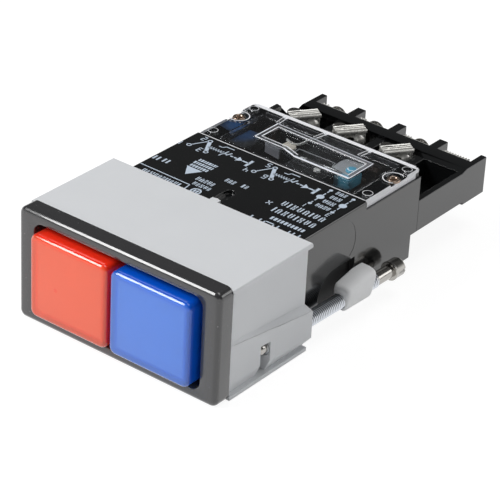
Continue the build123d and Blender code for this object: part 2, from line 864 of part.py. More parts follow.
# rear terminals: four plates behind the cross wall, three with screws
for number, plate_x in enumerate(rear_plate_xs, start=1):
    with BuildPart() as rear_plate:
        with BuildSketch(Plane.XY.offset(tray_base)):
            with Locations((plate_x, cross_rear + rear_plate_thick / 2)):
                Rectangle(rear_plate_width, rear_plate_thick)
        extrude(amount=rear_plate_top - tray_base)
        with BuildSketch(Plane.XY.offset(rear_plate_top)):
            with Locations((plate_x, cross_rear + rear_plate_flange / 2)):
                Rectangle(rear_plate_width, rear_plate_flange)
        extrude(amount=-0.6)
        with BuildSketch(across(cross_rear)):
            with Locations((plate_x + rear_screw_offset, rear_screw_z)):
                Circle(terminal_shank + fit)
        extrude(amount=-rear_plate_thick, mode=Mode.SUBTRACT)
        with BuildSketch(across(cross_rear + rear_plate_thick)):
            with Locations((plate_x + rear_screw_offset, rear_screw_z)):
                Circle(rear_head + fit)
        extrude(amount=-rear_plate_flange, mode=Mode.SUBTRACT)

    rear_plate.part.label = f"rear_terminal_plate_{number}"
    export_step(rear_plate.part, f"parts/rear_terminal_plate_{number}.step")

for number, plate_x in enumerate(rear_plate_xs[:3], start=1):
    head_y = cross_rear + rear_plate_thick
    with BuildPart() as rear_screw:
        with BuildSketch(across(cross_rear - 2.2)):
            with Locations((plate_x + rear_screw_offset, rear_screw_z)):
                Circle(terminal_shank)
        extrude(amount=-(2.2 + rear_plate_thick))
        with BuildSketch(across(head_y)):
            with Locations((plate_x + rear_screw_offset, rear_screw_z)):
                Circle(rear_head)
        extrude(amount=-rear_head_thick)
        fillet(rear_screw.faces().sort_by(Axis.Y)[-1].edges(), 0.6)
        with BuildSketch(across(head_y + rear_head_thick)):
            with Locations((plate_x + rear_screw_offset, rear_screw_z)):
                Rectangle(slot_width, 2 * rear_head)
        extrude(amount=slot_deep, mode=Mode.SUBTRACT)

    rear_screw.part.label = f"rear_terminal_screw_{number}"
    export_step(rear_screw.part, f"parts/rear_terminal_screw_{number}.step")

# mounting screw, retaining ring and claw on each side
for side, where in ((-1, "left"), (1, "right")):
    with BuildPart() as mounting_screw:
        with BuildSketch(screw_plane(side, screw_front)):
            Circle(screw_radius)
        extrude(amount=thread_end - screw_front)
        chamfer(mounting_screw.edges().sort_by(Axis.Y)[0], 0.3)
        with BuildSketch(screw_plane(side, thread_end)):
            Circle(shank_radius)
        extrude(amount=head_front - thread_end)
        with BuildSketch(screw_plane(side, head_front)):
            Circle(head_rim_radius)
        extrude(amount=head_rim)
        with BuildSketch(screw_plane(side, head_front + head_rim)):
            Circle(head_radius)
        extrude(amount=head_length - head_rim)
        fillet(mounting_screw.faces().sort_by(Axis.Y)[-1].edges(), 0.6)
        with BuildSketch(screw_plane(side, head_front + head_length)):
            Rectangle(2 * head_radius, slot_width)
        extrude(amount=-2 * slot_deep, mode=Mode.SUBTRACT)

    mounting_screw.part.label = where + "_mounting_screw"
    export_step(mounting_screw.part, "parts/" + where + "_mounting_screw.step")

    with BuildPart() as retaining_ring:
        with BuildSketch(screw_plane(side, ring_front)):
            Circle(ring_radius)
            Circle(screw_radius, mode=Mode.SUBTRACT)
        extrude(amount=ring_length)

    retaining_ring.part.label = where + "_retaining_ring"
    export_step(retaining_ring.part, "parts/" + where + "_retaining_ring.step")

    with BuildPart() as clamp_claw:
        with BuildSketch(screw_plane(side, claw_front)):
            Polygon(
                (side * claw_inner, -claw_low),
                (-side * claw_foot, -claw_low),
                (-side * claw_bulge * 0.77, claw_high * 0.12),
                (-side * claw_bulge, claw_high * 0.65),
                (-side * claw_bulge * 0.95, claw_high * 0.83),
                (-side * claw_bulge * 0.45, claw_high * 0.98),
                (side * claw_inner, claw_high),
                align=None,
            )
        extrude(amount=claw_length)
        with BuildSketch(screw_plane(side, claw_front - 1)):
            Circle(screw_radius + running)
        extrude(amount=claw_length + 2, mode=Mode.SUBTRACT)
        slope_top = screw_z + claw_high + claw_over
        with BuildSketch(Plane.YZ.offset(side * screw_x)):
            Polygon(
                (claw_front - 1, slope_top + 1),
                (claw_front - 1, slope_top - claw_slope_drop * (1 + 1 / claw_slope_length)),
                (claw_front + claw_slope_length, slope_top),
                (claw_front + claw_slope_length, slope_top + 1),
                align=None,
            )
        extrude(amount=6, both=True, mode=Mode.SUBTRACT)

    clamp_claw.part.label = where + "_clamp_claw"
    export_step(clamp_claw.part, "parts/" + where + "_clamp_claw.step")
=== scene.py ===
import json
import bpy
import bmesh
from math import cos, pi, radians, sin, tau
from mathutils import Matrix, Vector

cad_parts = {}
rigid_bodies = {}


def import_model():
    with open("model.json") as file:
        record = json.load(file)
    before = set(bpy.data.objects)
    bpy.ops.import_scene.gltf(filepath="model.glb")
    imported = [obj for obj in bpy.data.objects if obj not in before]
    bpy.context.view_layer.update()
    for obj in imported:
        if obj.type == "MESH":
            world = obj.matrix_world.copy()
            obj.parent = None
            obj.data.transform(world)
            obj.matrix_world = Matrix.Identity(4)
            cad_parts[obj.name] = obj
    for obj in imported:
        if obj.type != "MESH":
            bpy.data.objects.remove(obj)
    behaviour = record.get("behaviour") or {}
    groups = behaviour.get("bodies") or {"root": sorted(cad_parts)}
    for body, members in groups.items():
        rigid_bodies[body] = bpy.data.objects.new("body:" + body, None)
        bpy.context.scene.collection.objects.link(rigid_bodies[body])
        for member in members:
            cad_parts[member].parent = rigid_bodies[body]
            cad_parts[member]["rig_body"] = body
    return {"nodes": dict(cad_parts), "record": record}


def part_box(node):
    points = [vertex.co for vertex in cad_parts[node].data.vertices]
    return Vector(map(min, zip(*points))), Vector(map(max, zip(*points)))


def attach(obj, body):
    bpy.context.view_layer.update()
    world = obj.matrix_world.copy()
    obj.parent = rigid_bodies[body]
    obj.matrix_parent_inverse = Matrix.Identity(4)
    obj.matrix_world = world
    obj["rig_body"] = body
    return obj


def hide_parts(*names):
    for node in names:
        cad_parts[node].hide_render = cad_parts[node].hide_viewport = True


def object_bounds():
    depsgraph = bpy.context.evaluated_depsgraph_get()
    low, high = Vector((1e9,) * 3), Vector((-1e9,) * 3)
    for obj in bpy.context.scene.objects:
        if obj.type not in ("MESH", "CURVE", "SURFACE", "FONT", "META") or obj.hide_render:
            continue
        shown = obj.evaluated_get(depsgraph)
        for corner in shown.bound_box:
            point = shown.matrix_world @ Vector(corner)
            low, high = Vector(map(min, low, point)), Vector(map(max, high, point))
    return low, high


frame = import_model()
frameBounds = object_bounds()
nodes = frame["nodes"]
mm = 0.001
print("stage: frame loaded")


# materials

def feed(made, values):
    # a number is set on the node's socket, and another socket is linked to it
    for key, value in values.items():
        socket = made.inputs[key]
        if isinstance(value, bpy.types.NodeSocket):
            socket.id_data.links.new(value, socket)
        else:
            socket.default_value = value
    return made


def addNode(tree, kind, values=None, **settings):
    made = tree.nodes.new(kind)
    for key, value in settings.items():
        setattr(made, key, value)
    return feed(made, values or {})


def newMaterial(name):
    material = bpy.data.materials.new(name)
    material.use_nodes = True
    return material, material.node_tree, material.node_tree.nodes["Principled BSDF"]


def objectPlace(tree):
    return addNode(tree, "ShaderNodeTexCoord").outputs["Object"]


def objectAxes(tree):
    return addNode(tree, "ShaderNodeSeparateXYZ", {0: objectPlace(tree)}).outputs


def noiseField(tree, size, detail=3.0, stretch=(1, 1, 1)):
    # cloudy values between 0 and 1, in cells of the given size in millimetres
    scaled = addNode(tree, "ShaderNodeMapping", {"Vector": objectPlace(tree), "Scale": stretch})
    values = {"Vector": scaled.outputs["Vector"], "Scale": 1 / (size * mm), "Detail": detail}
    return addNode(tree, "ShaderNodeTexNoise", values).outputs["Fac"]


def ramp(tree, value, low, high, start=0.0, end=1.0):
    values = {"Value": value, "From Min": low, "From Max": high, "To Min": start, "To Max": end}
    return addNode(tree, "ShaderNodeMapRange", values, interpolation_type="SMOOTHSTEP").outputs["Result"]


def fade(tree, value, span, start=0.0, end=1.0):
    # a soft step over a span in millimetres
    return ramp(tree, value, span[0] * mm, span[1] * mm, start, end)


def calculate(tree, operation, first, second=None):
    values = {0: first} if second is None else {0: first, 1: second}
    return addNode(tree, "ShaderNodeMath", values, operation=operation).outputs[0]


def highest(tree, value, *others):
    for other in others:
        value = calculate(tree, "MAXIMUM", value, other)
    return value


def distanceFrom(tree, centre):
    values = {0: objectPlace(tree), 1: [c * mm for c in centre]}
    return addNode(tree, "ShaderNodeVectorMath", values, operation="DISTANCE").outputs["Value"]


def mixColours(tree, factor, first, second):
    values = {0: factor}
    for key, value in ((6, first), (7, second)):
        values[key] = value if isinstance(value, bpy.types.NodeSocket) else (*value, 1)
    return addNode(tree, "ShaderNodeMix", values, data_type="RGBA").outputs[2]


def shade(colour, share):
    return tuple(min(1.0, c * share) for c in colour)


def showEither(tree, factor, whenOff, whenOn):
    either = addNode(tree, "ShaderNodeMixShader", {0: factor, 1: whenOff, 2: whenOn})
    feed(tree.nodes["Material Output"], {"Surface": either.outputs[0]})


def lampsPassThrough(tree, shader, tint):
    # shadow rays go straight through, so that what lies behind is lit
    through = addNode(tree, "ShaderNodeBsdfTransparent", {"Color": (*tint, 1)})
    rays = addNode(tree, "ShaderNodeLightPath")
    showEither(tree, rays.outputs["Is Shadow Ray"], shader.outputs["BSDF"], through.outputs["BSDF"])


def mouldedPlastic(name, look):
    # a plastic whose colour drifts a little, with fine grain and patchy gloss
    material, tree, shader = newMaterial(name)
    pale, deep = (shade(look["colour"], 1 + side * look["drift"]) for side in (1, -1))
    colour = mixColours(tree, noiseField(tree, look["cloud"]), deep, pale)
    if "specks" in look:
        dots = noiseField(tree, look["speckSize"], 1.0)
        dots = ramp(tree, dots, look["speckFrom"], look["speckFrom"] + 0.04)
        colour = mixColours(tree, dots, colour, look["specks"])
    if "away" in look:
        # painted shade: it darkens with the distance from the spot that is painted as lit
        away = fade(tree, distanceFrom(tree, look["centre"]), look["away"])
        colour = mixColours(tree, away, colour, look["paintedShadeColour"])
    rough, coat = look["roughness"], look["coat"]
    gloss = noiseField(tree, look["cloud"] * 0.4)
    gloss = ramp(tree, gloss, 0.3, 0.7, rough * 0.85, rough * 1.15)
    if "recess" in look:
        # the side recesses of the housing are left dull by the mould
        recess = look["recess"]
        axes = objectAxes(tree)
        within = fade(tree, calculate(tree, "ABSOLUTE", axes["X"]), recess["side"])
        behind = fade(tree, axes["Y"], recess["rear"])
        shiny = highest(tree, within, behind, fade(tree, axes["Z"], recess["top"]))
        coat = ramp(tree, shiny, 0.0, 1.0, 0.0, coat)
        gloss = highest(tree, gloss, ramp(tree, shiny, 0.0, 1.0, recess["roughness"], 0.0))
    grain = addNode(tree, "ShaderNodeBump", {
        "Strength": 1.0, "Distance": look["grainHeight"] * mm, "Height": noiseField(tree, look["grain"], 2.0),
    })
    feed(shader, {
        "Base Color": colour, "Roughness": gloss, "Specular IOR Level": look["specular"],
        "Coat Weight": coat, "Coat Roughness": look["coatRoughness"], "Coat IOR": 1.5,
        "Normal": grain.outputs["Normal"],
    })
    return material


def brushedMetal(name, look):
    # a metal with soft stains, and painted shade in the thread valleys where the mesh marks them
    material, tree, shader = newMaterial(name)
    stains = noiseField(tree, look["cloud"])
    colour = mixColours(tree, stains, shade(look["colour"], 1 - look["drift"]), look["colour"])
    if "valley" in look:
        valleyShadeMask = addNode(tree, "ShaderNodeAttribute", attribute_name="depth").outputs["Fac"]
        colour = mixColours(tree, ramp(tree, valleyShadeMask, 0.3, 0.9), colour, look["valley"])
    streaks = noiseField(tree, look["grain"], 2.0, look["stretch"])
    rough = look["roughness"]
    feed(shader, {
        "Base Color": colour, "Metallic": look["metallic"],
        "Roughness": ramp(tree, streaks, 0.25, 0.75, rough * 0.85, rough * 1.15),
    })
    return material


def clearPlastic(name, look):
    # clear all through; milky where its fog marks, partly frost and partly a painted sheen for the bright
    # edges, and dark on the lower rear wall as painted shade
    material, tree, shader = newMaterial(name)
    cloud = noiseField(tree, look["cloud"])
    colour = mixColours(tree, cloud, look["colour"], shade(look["colour"], 1 - look["drift"]))
    rough = ramp(tree, cloud, 0.3, 0.7, look["roughness"] * 0.6, look["roughness"] * 1.4)
    clear = 1.0
    if "fog" in look:
        fog = look["fog"]
        axes = objectAxes(tree)
        sides = fade(tree, calculate(tree, "ABSOLUTE", axes["X"]), fog["side"])
        upper = fade(tree, axes["Z"], fog["upper"])
        rear = calculate(tree, "MULTIPLY", fade(tree, axes["Y"], fog["rear"]), upper)
        front = fade(tree, axes["Y"], fog["front"], 1.0, 0.0)
        # milky white at the sides, rear, front and rim: partly frost, partly a painted sheen for the bright
        # rear edge
        whiteOrDark = highest(tree, sides, rear, front, fade(tree, axes["Z"], fog["rim"], 0.0, fog["rimShare"]))
        beneath = calculate(tree, "SUBTRACT", 1.0, upper)
        # painted shade: the lower rear wall is painted dark
        shadedRear = calculate(tree, "MULTIPLY", fade(tree, axes["Y"], fog["shadedRear"]), beneath)
        colour = mixColours(tree, whiteOrDark, colour, fog["colour"])
        colour = mixColours(tree, shadedRear, colour, fog["wallShadeColour"])
        whiteOrDark = highest(tree, whiteOrDark, shadedRear)
        clear = ramp(tree, whiteOrDark, 0.0, 1.0, 1.0, fog["clear"])
        rough = ramp(tree, whiteOrDark, 0.0, 1.0, look["roughness"], fog["roughness"])
    feed(shader, {
        "Base Color": colour, "Roughness": rough, "Transmission Weight": clear,
        "IOR": look["ior"], "Specular IOR Level": look["specular"],
    })
    lampsPassThrough(tree, shader, look["shadow"])
    return material


def tintedPlastic(name, look):
    # half clear, paler on its face than on its sides, with a faint gate mark
    material, tree, shader = newMaterial(name)
    cloud = noiseField(tree, look["cloud"])
    colour = mixColours(tree, cloud, shade(look["colour"], 1 - look["drift"]), look["colour"])
    behind = fade(tree, objectAxes(tree)["Y"], [lensFace + depth for depth in look["sideSpan"]])
    colour = mixColours(tree, behind, colour, look["side"])
    if "gate" in look:
        mark = fade(tree, distanceFrom(tree, look["gate"]), look["gateSpan"], look["gateShare"], 0.0)
        colour = mixColours(tree, mark, colour, look["side"])
    rough = look["roughness"]
    feed(shader, {
        "Base Color": colour, "Roughness": ramp(tree, cloud, 0.3, 0.7, rough * 0.7, rough * 1.3),
        "Transmission Weight": look["clear"], "IOR": look["ior"], "Specular IOR Level": look["specular"],
        "Coat Weight": look["coat"], "Coat Roughness": look["coatRoughness"], "Coat IOR": look["coatIor"],
    })
    lampsPassThrough(tree, shader, look["shadow"])
    return material


# looks: what each kind shares, then each finish with what differs
plasticCommon = {
    "drift": 0.08, "cloud": 3.0, "roughness": 0.4, "specular": 0.5,
    "coat": 0.0, "coatRoughness": 0.05, "grain": 0.2, "grainHeight": 0.004,
}
plasticLook = {
    "bezel_plastic": {
        "colour": (0.036, 0.036, 0.038), "drift": 0.12, "cloud": 6.0, "roughness": 0.2, "specular": 0.55,
        "coat": 0.75, "coatRoughness": 0.03, "grain": 0.12, "grainHeight": 0.003,
        "specks": (0.5, 0.5, 0.52), "speckSize": 0.28, "speckFrom": 0.79,
    },
    "sleeve_plastic": {
        "colour": (0.68, 0.695, 0.715), "drift": 0.025, "cloud": 9.0, "roughness": 0.42,
        "specular": 0.4, "grainHeight": 0.003,
    },
    "black_plastic": {
        "colour": (0.006, 0.0065, 0.007), "drift": 0.2, "cloud": 5.0, "roughness": 0.14,
        "specular": 0.75, "coat": 0.2, "grain": 0.7, "grainHeight": 0.002,
        "recess": {"side": (20.7, 20.8), "rear": (20.5, 21.0), "top": (3.0, 3.5), "roughness": 0.75},
    },
    "white_plastic": {"colour": (0.84, 0.85, 0.86), "drift": 0.03, "cloud": 4.0, "specular": 0.4},
    # painted shade: dark away from the lit knob, where the plunger lies under the cover
    "plunger_plastic": {
        "colour": (0.055, 0.27, 0.38), "roughness": 0.35, "grain": 0.15,
        "centre": (10.6, 31.0, 8.6), "away": (1.8, 4.6), "paintedShadeColour": (0.006, 0.035, 0.05),
    },
    # dark blue, painted darker still as shade away from one lit spot near the rail's rear
    "dark_plunger": {
        "colour": (0.008, 0.045, 0.13), "roughness": 0.5, "specular": 0.4, "grain": 0.15,
        "centre": (-17.4, 30.8, 7.8), "away": (0.8, 5.2), "paintedShadeColour": (0.004, 0.005, 0.007),
    },
    "printing_ink": {
        "colour": (0.52, 0.60, 0.70), "drift": 0.06, "cloud": 1.0, "roughness": 0.6,
        "specular": 0.3, "grain": 0.1, "grainHeight": 0.002,
    },
    # the plunger's teal painted in shade: far darker than plunger_plastic, for the arm under the cover
    "teal_plastic": {"colour": (0.01, 0.055, 0.075), "grain": 0.4, "grainHeight": 0.002},
    "haze_plastic": {
        "colour": (0.13, 0.13, 0.14), "drift": 0.15, "cloud": 2.0, "roughness": 0.35,
        "grain": 0.4, "grainHeight": 0.002,
    },
    "amber_plastic": {"colour": (0.42, 0.38, 0.32), "drift": 0.15, "cloud": 2.0},
    # a white for strips and arcs that paint highlights on the cover and the knob
    "frosted_plastic": {
        "colour": (0.86, 0.87, 0.9), "drift": 0.03, "cloud": 2.0, "roughness": 0.3,
        "grain": 0.1, "grainHeight": 0.002,
    },
    "grey_plastic": {"colour": (0.26, 0.265, 0.27), "cloud": 2.0},
    "diffuser_plastic": {
        "colour": (0.9, 0.9, 0.88), "drift": 0.02, "roughness": 0.5, "specular": 0.4, "grainHeight": 0.003,
    },
}
metalCommon = {"drift": 0.1, "cloud": 1.5, "metallic": 1.0, "grain": 1.0, "stretch": (1, 1, 1)}
turned = {"cloud": 2.5, "grain": 1.2, "stretch": (1, 0.3, 1)}
metalLook = {
    "steel": {"colour": (0.46, 0.445, 0.42), "roughness": 0.2, **turned},
    "thread_steel": {
        # valley: painted shade, the colour at the bottom of the thread's grooves
        "colour": (0.76, 0.79, 0.84), "roughness": 0.38, "valley": (0.02, 0.02, 0.025), **turned,
    },
    "terminal_metal": {
        "colour": (0.84, 0.83, 0.79), "drift": 0.08, "cloud": 2.5, "roughness": 0.27, "metallic": 0.72,
        "grain": 2.0, "stretch": (0.4, 1, 1),
    },
    "dark_brass": {"colour": (0.07, 0.05, 0.04), "roughness": 0.4},
    "brass": {"colour": (0.38, 0.29, 0.23), "roughness": 0.26},
    "spring_steel": {"colour": (0.55, 0.56, 0.58), "roughness": 0.25, "stretch": (1, 1, 0.4)},
}
clearCommon = {"drift": 0.02, "specular": 0.5}
clearLook = {
    "clear_plastic": {
        "colour": (0.95, 0.965, 0.98), "cloud": 4.0, "roughness": 0.02, "ior": 1.45,
        "shadow": (0.88, 0.9, 0.92),
        # milky places (partly frost, partly painted sheen) and a dark rear wall (painted shade)
        "fog": {
            "side": (20.25, 20.42), "rear": (38.4, 38.55), "upper": (9.3, 9.6), "shadedRear": (38.1, 38.25),
            "front": (21.5, 21.75), "rim": (10.28, 10.4), "rimShare": 0.16,
            "colour": (0.86, 0.87, 0.9), "wallShadeColour": (0.015, 0.015, 0.017), "clear": 0.15, "roughness": 0.35,
        },
    },
    "lamp_glass": {
        "colour": (0.97, 0.97, 0.97), "cloud": 2.0, "roughness": 0.01, "ior": 1.5,
        "shadow": (0.92, 0.92, 0.92),
    },
}
tintCommon = {
    "drift": 0.04, "cloud": 5.0, "roughness": 0.12, "clear": 0.3, "ior": 1.4, "specular": 0.5,
    "coat": 0.6, "coatRoughness": 0.02, "coatIor": 1.55,
    "sideSpan": (0.15, 0.6), "gateSpan": (0.25, 0.6), "gateShare": 0.45,
}
tintLook = {
    "red_lens_plastic": {
        "colour": (1.0, 0.14, 0.055), "side": (0.98, 0.045, 0.016), "shadow": (1.0, 0.75, 0.7),
        "gate": (-12.6, -29.0, -0.9),
    },
    "blue_lens_plastic": {
        "colour": (0.08, 0.25, 0.86), "side": (0.003, 0.13, 0.72), "shadow": (0.85, 0.92, 1.0),
    },
}
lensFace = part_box("red_lens")[0].y / mm
finishes = {}
for make, common, looks in (
    (mouldedPlastic, plasticCommon, plasticLook), (brushedMetal, metalCommon, metalLook),
    (clearPlastic, clearCommon, clearLook), (tintedPlastic, tintCommon, tintLook),
):
    for name, look in looks.items():
        finishes[name] = make(name, {**common, **look})
slotOf = {thing["node"]: thing["material_slot"] for thing in frame["record"]["subparts"]}
print("stage: materials made")


# objects and modifiers

def show(made):
    bpy.context.scene.collection.objects.link(made)
    return made


def addObject(name, mesh, finish, body="base", replaced=()):
    made = show(bpy.data.objects.new(name, mesh))
    mesh.materials.clear()
    mesh.materials.append(finishes[finish])
    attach(made, body)
    if replaced:
        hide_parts(*replaced)
    return made


def weldedCopy(node):
    # the node's shape with its doubled corners joined and its flat facets merged
    work = bmesh.new()
    work.from_mesh(nodes[node].data)
    bmesh.ops.remove_doubles(work, verts=work.verts, dist=0.002 * mm)
    mergeFacets(work)
    return work


def mergeFacets(work):
    bmesh.ops.dissolve_limit(
        work, angle_limit=radians(0.5), verts=work.verts[:], edges=work.edges[:],
    )
    bmesh.ops.recalc_face_normals(work, faces=work.faces)


def finishMesh(work, name, smoothBelow=30):
    for face in work.faces:
        face.smooth = True
    for edge in work.edges:
        edge.smooth = not (edge.is_manifold and edge.calc_face_angle(0) > radians(smoothBelow))
    mesh = bpy.data.meshes.new(name)
    work.to_mesh(mesh)
    work.free()
    return mesh


def closedMesh(work, name, smoothBelow=30):
    bmesh.ops.recalc_face_normals(work, faces=work.faces)
    return finishMesh(work, name, smoothBelow)


def baked(made):
    # the object with its modifiers applied, as a plain mesh
    bpy.context.view_layer.update()
    shape = made.evaluated_get(bpy.context.evaluated_depsgraph_get())
    mesh = bpy.data.meshes.new_from_object(shape)
    made.modifiers.clear()
    made.data = mesh
    return made


def roundEdges(made, width, segments=3, angle=30):
    bevel = made.modifiers.new("edge", "BEVEL")
    bevel.width = width * mm
    bevel.segments = segments
    bevel.limit_method = "ANGLE"
    bevel.angle_limit = radians(angle)
    bevel.use_clamp_overlap = False
    bevel.harden_normals = True
    return baked(made)


def flatFaces(made):
    # large faces keep their own direction beside small rounded ones
    normals = made.modifiers.new("normals", "WEIGHTED_NORMAL")
    normals.weight = 100
    normals.keep_sharp = True
    return baked(made)


def joinShape(made, mesh, operation="DIFFERENCE"):
    # cuts a closed shape out of the object, or adds it
    tool = show(bpy.data.objects.new("tool", mesh))
    join = made.modifiers.new("join", "BOOLEAN")
    join.operation = operation
    join.object = tool
    join.solver = "EXACT"
    baked(made)
    bpy.data.objects.remove(tool)


def addPiece(
    name, work, finish, body="base", replaced=(), slot=None, smoothBelow=30, edge=0, segments=3, angle=30,
):
    # a piece from its shape in work, with its edges rounded
    made = addObject(name, closedMesh(work, name, smoothBelow), finish, body, replaced)
    return roundEdges(made, edge, segments, angle) if edge else made


def dressed(node, edge):
    # the node's own shape with rounded edges
    name = node + "Piece"
    mesh = finishMesh(weldedCopy(node), name)
    return roundEdges(addObject(name, mesh, slotOf[node], nodes[node]["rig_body"], (node,)), edge)


# shapes, in millimetres

def edges(node):
    low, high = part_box(node)
    return low / mm, high / mm


def middleOf(node):
    low, high = edges(node)
    return (low + high) / 2


def circle(count, radius=1.0, centre=(0.0, 0.0)):
    turns = [tau * i / count for i in range(count)]
    return [(centre[0] + radius * cos(turn), centre[1] + radius * sin(turn)) for turn in turns]


def quarterTurn(steps):
    # how far a quarter circle has moved back and has still to rise, at each step
    turns = [step / steps * pi / 2 for step in range(steps + 1)]
    return [(1 - cos(turn), 1 - sin(turn)) for turn in turns]


def rectangle(x0, y0, x1, y1):
    return [(x0, y0), (x1, y0), (x1, y1), (x0, y1)]


def roundedLoop(halfX, halfZ, radius, y, centreX=0.0, perCorner=10):
    # points around a rounded rectangle that stands across the depth at y
    radius = max(min(radius, halfX, halfZ), 0.01)
    points = []
    for turn, (sideX, sideZ) in enumerate(((1, 1), (-1, 1), (-1, -1), (1, -1))):
        for step in range(perCorner + 1):
            angle = turn * pi / 2 + step / perCorner * pi / 2
            x = centreX + sideX * (halfX - radius) + radius * cos(angle)
            points.append((x, y, sideZ * (halfZ - radius) + radius * sin(angle)))
    return points


def softFront(halfX, halfZ, front, rear, shape, centreX=0.0):
    # loops from the rear of a block to its face, round a soft front edge
    loops = [roundedLoop(halfX, halfZ, shape["corner"], rear, centreX)]
    for back, rise in quarterTurn(shape["steps"]):
        inset = shape["edge"] * back
        corner = shape["corner"] - inset * shape["shrink"]
        y = front + shape["edge"] * rise
        loops.append(roundedLoop(halfX - inset, halfZ - inset, corner, y, centreX))
    return loops


def bridge(work, first, second):
    # quads between two rings of equal length
    for i in range(len(first)):
        j = (i + 1) % len(first)
        work.faces.new((first[i], first[j], second[j], second[i]))


def skinLoops(work, loops, closed=False, capStart=False, capEnd=False):
    rings = [[work.verts.new(Vector(p) * mm) for p in loop] for loop in loops]
    for first, second in zip(rings, rings[1:] + rings[:1] if closed else rings[1:]):
        bridge(work, first, second)
    if capStart:
        work.faces.new(rings[0])
    if capEnd:
        work.faces.new(rings[-1])
    return rings


def addSolid(work, *loops):
    skinLoops(work, loops, capStart=True, capEnd=True)


def addPrism(work, corners, low, high):
    # a flat prism over a polygon given as (x, y) corners
    addSolid(work, *([(x, y, z) for x, y in corners] for z in (low, high)))


def addStroke(work, start, end, width, low, high):
    start, end = Vector(start), Vector(end)
    along = (end - start).normalized()
    out = Vector((-along.y, along.x)) * width / 2
    addPrism(work, [start - out, end - out, end + out, start + out], low, high)


def addLine(work, points, width, low, high):
    for start, end in zip(points, points[1:]):
        addStroke(work, start, end, width, low, high)


def addRing(work, centre, outer, inner, low, high):
    loops = []
    for radius, z in ((inner, low), (outer, low), (outer, high), (inner, high)):
        loops.append([(x, y, z) for x, y in circle(28, radius, centre)])
    skinLoops(work, loops, closed=True)


def addDisc(work, centre, radius, low, high, count=20):
    addPrism(work, circle(count, radius, centre), low, high)


def offsetPath(path, amount):
    # the closed path moved sideways, with its corners kept square
    moved = []
    for i, point in enumerate(path):
        before = (Vector(point) - Vector(path[i - 1])).normalized()
        after = (Vector(path[(i + 1) % len(path)]) - Vector(point)).normalized()
        sideA = Vector((-before.y, before.x))
        sideB = Vector((-after.y, after.x))
        moved.append(Vector(point) + (sideA + sideB) * amount / (1 + sideA.dot(sideB)))
    return moved


def addFrame(work, path, width, low, high, soft):
    # a raised bar along a closed path, with softened upper edges
    half = width / 2
    sections = (
        (-half, low), (-half, high - soft), (soft - half, high),
        (half - soft, high), (half, high - soft), (half, low),
    )
    loops = [[(p.x, p.y, z) for p in offsetPath(path, amount)] for amount, z in sections]
    skinLoops(work, loops, closed=True)


def addSweep(work, profile, origin, depth, along, length):
    # a closed (depth, height) profile carried sideways
    addSolid(work, *(
        [origin + along * reach + depth * d + Vector((0, 0, h)) for d, h in profile]
        for reach in (-length / 2, length / 2)
    ))


def lathe(work, profile, origin, axis, count=48):
    # turns (radius, distance) pairs about an axis; ends of radius 0 close in a point
    axis = Vector(axis).normalized()
    across = axis.orthogonal().normalized()
    other = axis.cross(across)
    rings = []
    for radius, distance in profile:
        base = Vector(origin) + axis * distance
        around = circle(count) if radius > 0 else [(0, 0)]
        rings.append([work.verts.new((base + (across * x + other * y) * radius) * mm) for x, y in around])
    for first, second in zip(rings, rings[1:]):
        if len(first) == len(second):
            bridge(work, first, second)
            continue
        for i in range(count):
            j = (i + 1) % count
            if len(first) == 1:
                work.faces.new((first[0], second[i], second[j]))
            else:
                work.faces.new((first[j], first[i], second[0]))


# both side screws stand on these axes, which spread a little towards the rear
screwAxis = {"foot": 22.85, "height": -6.3, "splay": 1.8}


def axisOf(side):
    splay = radians(screwAxis["splay"])
    foot = Vector((side * screwAxis["foot"], 0, screwAxis["height"]))
    return foot, Vector((side * sin(splay), cos(splay), 0))


def rodMesh(side, radius, start, end):
    # a round bar on a screw's axis
    work = bmesh.new()
    lathe(work, [(0, start), (radius, start), (radius, end), (0, end)], *axisOf(side), 40)
    return closedMesh(work, "rod")


# front bezel: one ring of rounded sections with a soft front edge
bezelShape = {
    "edge": 1.05, "corner": 1.5, "shrink": 0.9, "steps": 8,
    "gap": 0.95, "openingCorner": 2.0, "openingEdge": 0.25,
}
low, high = edges("front_bezel")
opening = edges("blue_lens")[1]
openX, openZ = opening.x + bezelShape["gap"], opening.z + bezelShape["gap"]
corner, lip = bezelShape["openingCorner"], bezelShape["openingEdge"]
loops = softFront(high.x, high.z, low.y, high.y, bezelShape)
for back, rise in quarterTurn(4):
    inset = lip * rise
    loops.append(roundedLoop(openX + inset, openZ + inset, corner + inset, low.y + lip * back))
loops.append(roundedLoop(openX, openZ, corner, high.y))
work = bmesh.new()
skinLoops(work, loops, closed=True)
addPiece("bezelPiece", work, "bezel_plastic", "base", ("front_bezel",), smoothBelow=40)

# lenses: shells with a soft front edge, each with its diffuser behind it
lensShape = {
    "edge": 0.9, "corner": 1.5, "shrink": 0.8, "steps": 8, "wall": 1.0, "innerEdge": 0.35,
    "diffuserEdge": 0.4,
}
for colour in ("red", "blue"):
    low, high = edges(colour + "_lens")
    middle = (low.x + high.x) / 2
    halfX, halfZ = (high.x - low.x) / 2, high.z
    wall, soft, corner = lensShape["wall"], lensShape["innerEdge"], lensShape["corner"] / 2
    inner = []
    for back, rise in quarterTurn(4):
        inset = wall + soft * rise
        inner.append(roundedLoop(halfX - inset, halfZ - inset, corner, low.y + wall + soft * back, middle))
    inner.append(roundedLoop(halfX - wall, halfZ - wall, corner, high.y, middle))
    work = bmesh.new()
    outerRings = skinLoops(work, softFront(halfX, halfZ, low.y, high.y, lensShape, middle), capEnd=True)
    innerRings = skinLoops(work, inner, capStart=True)
    bridge(work, innerRings[-1], outerRings[0])
    addPiece(
        colour + "LensPiece", work, colour + "_lens_plastic", colour + "_button", (colour + "_lens",),
        smoothBelow=40,
    )
    dressed(colour + "_diffuser", lensShape["diffuserEdge"])

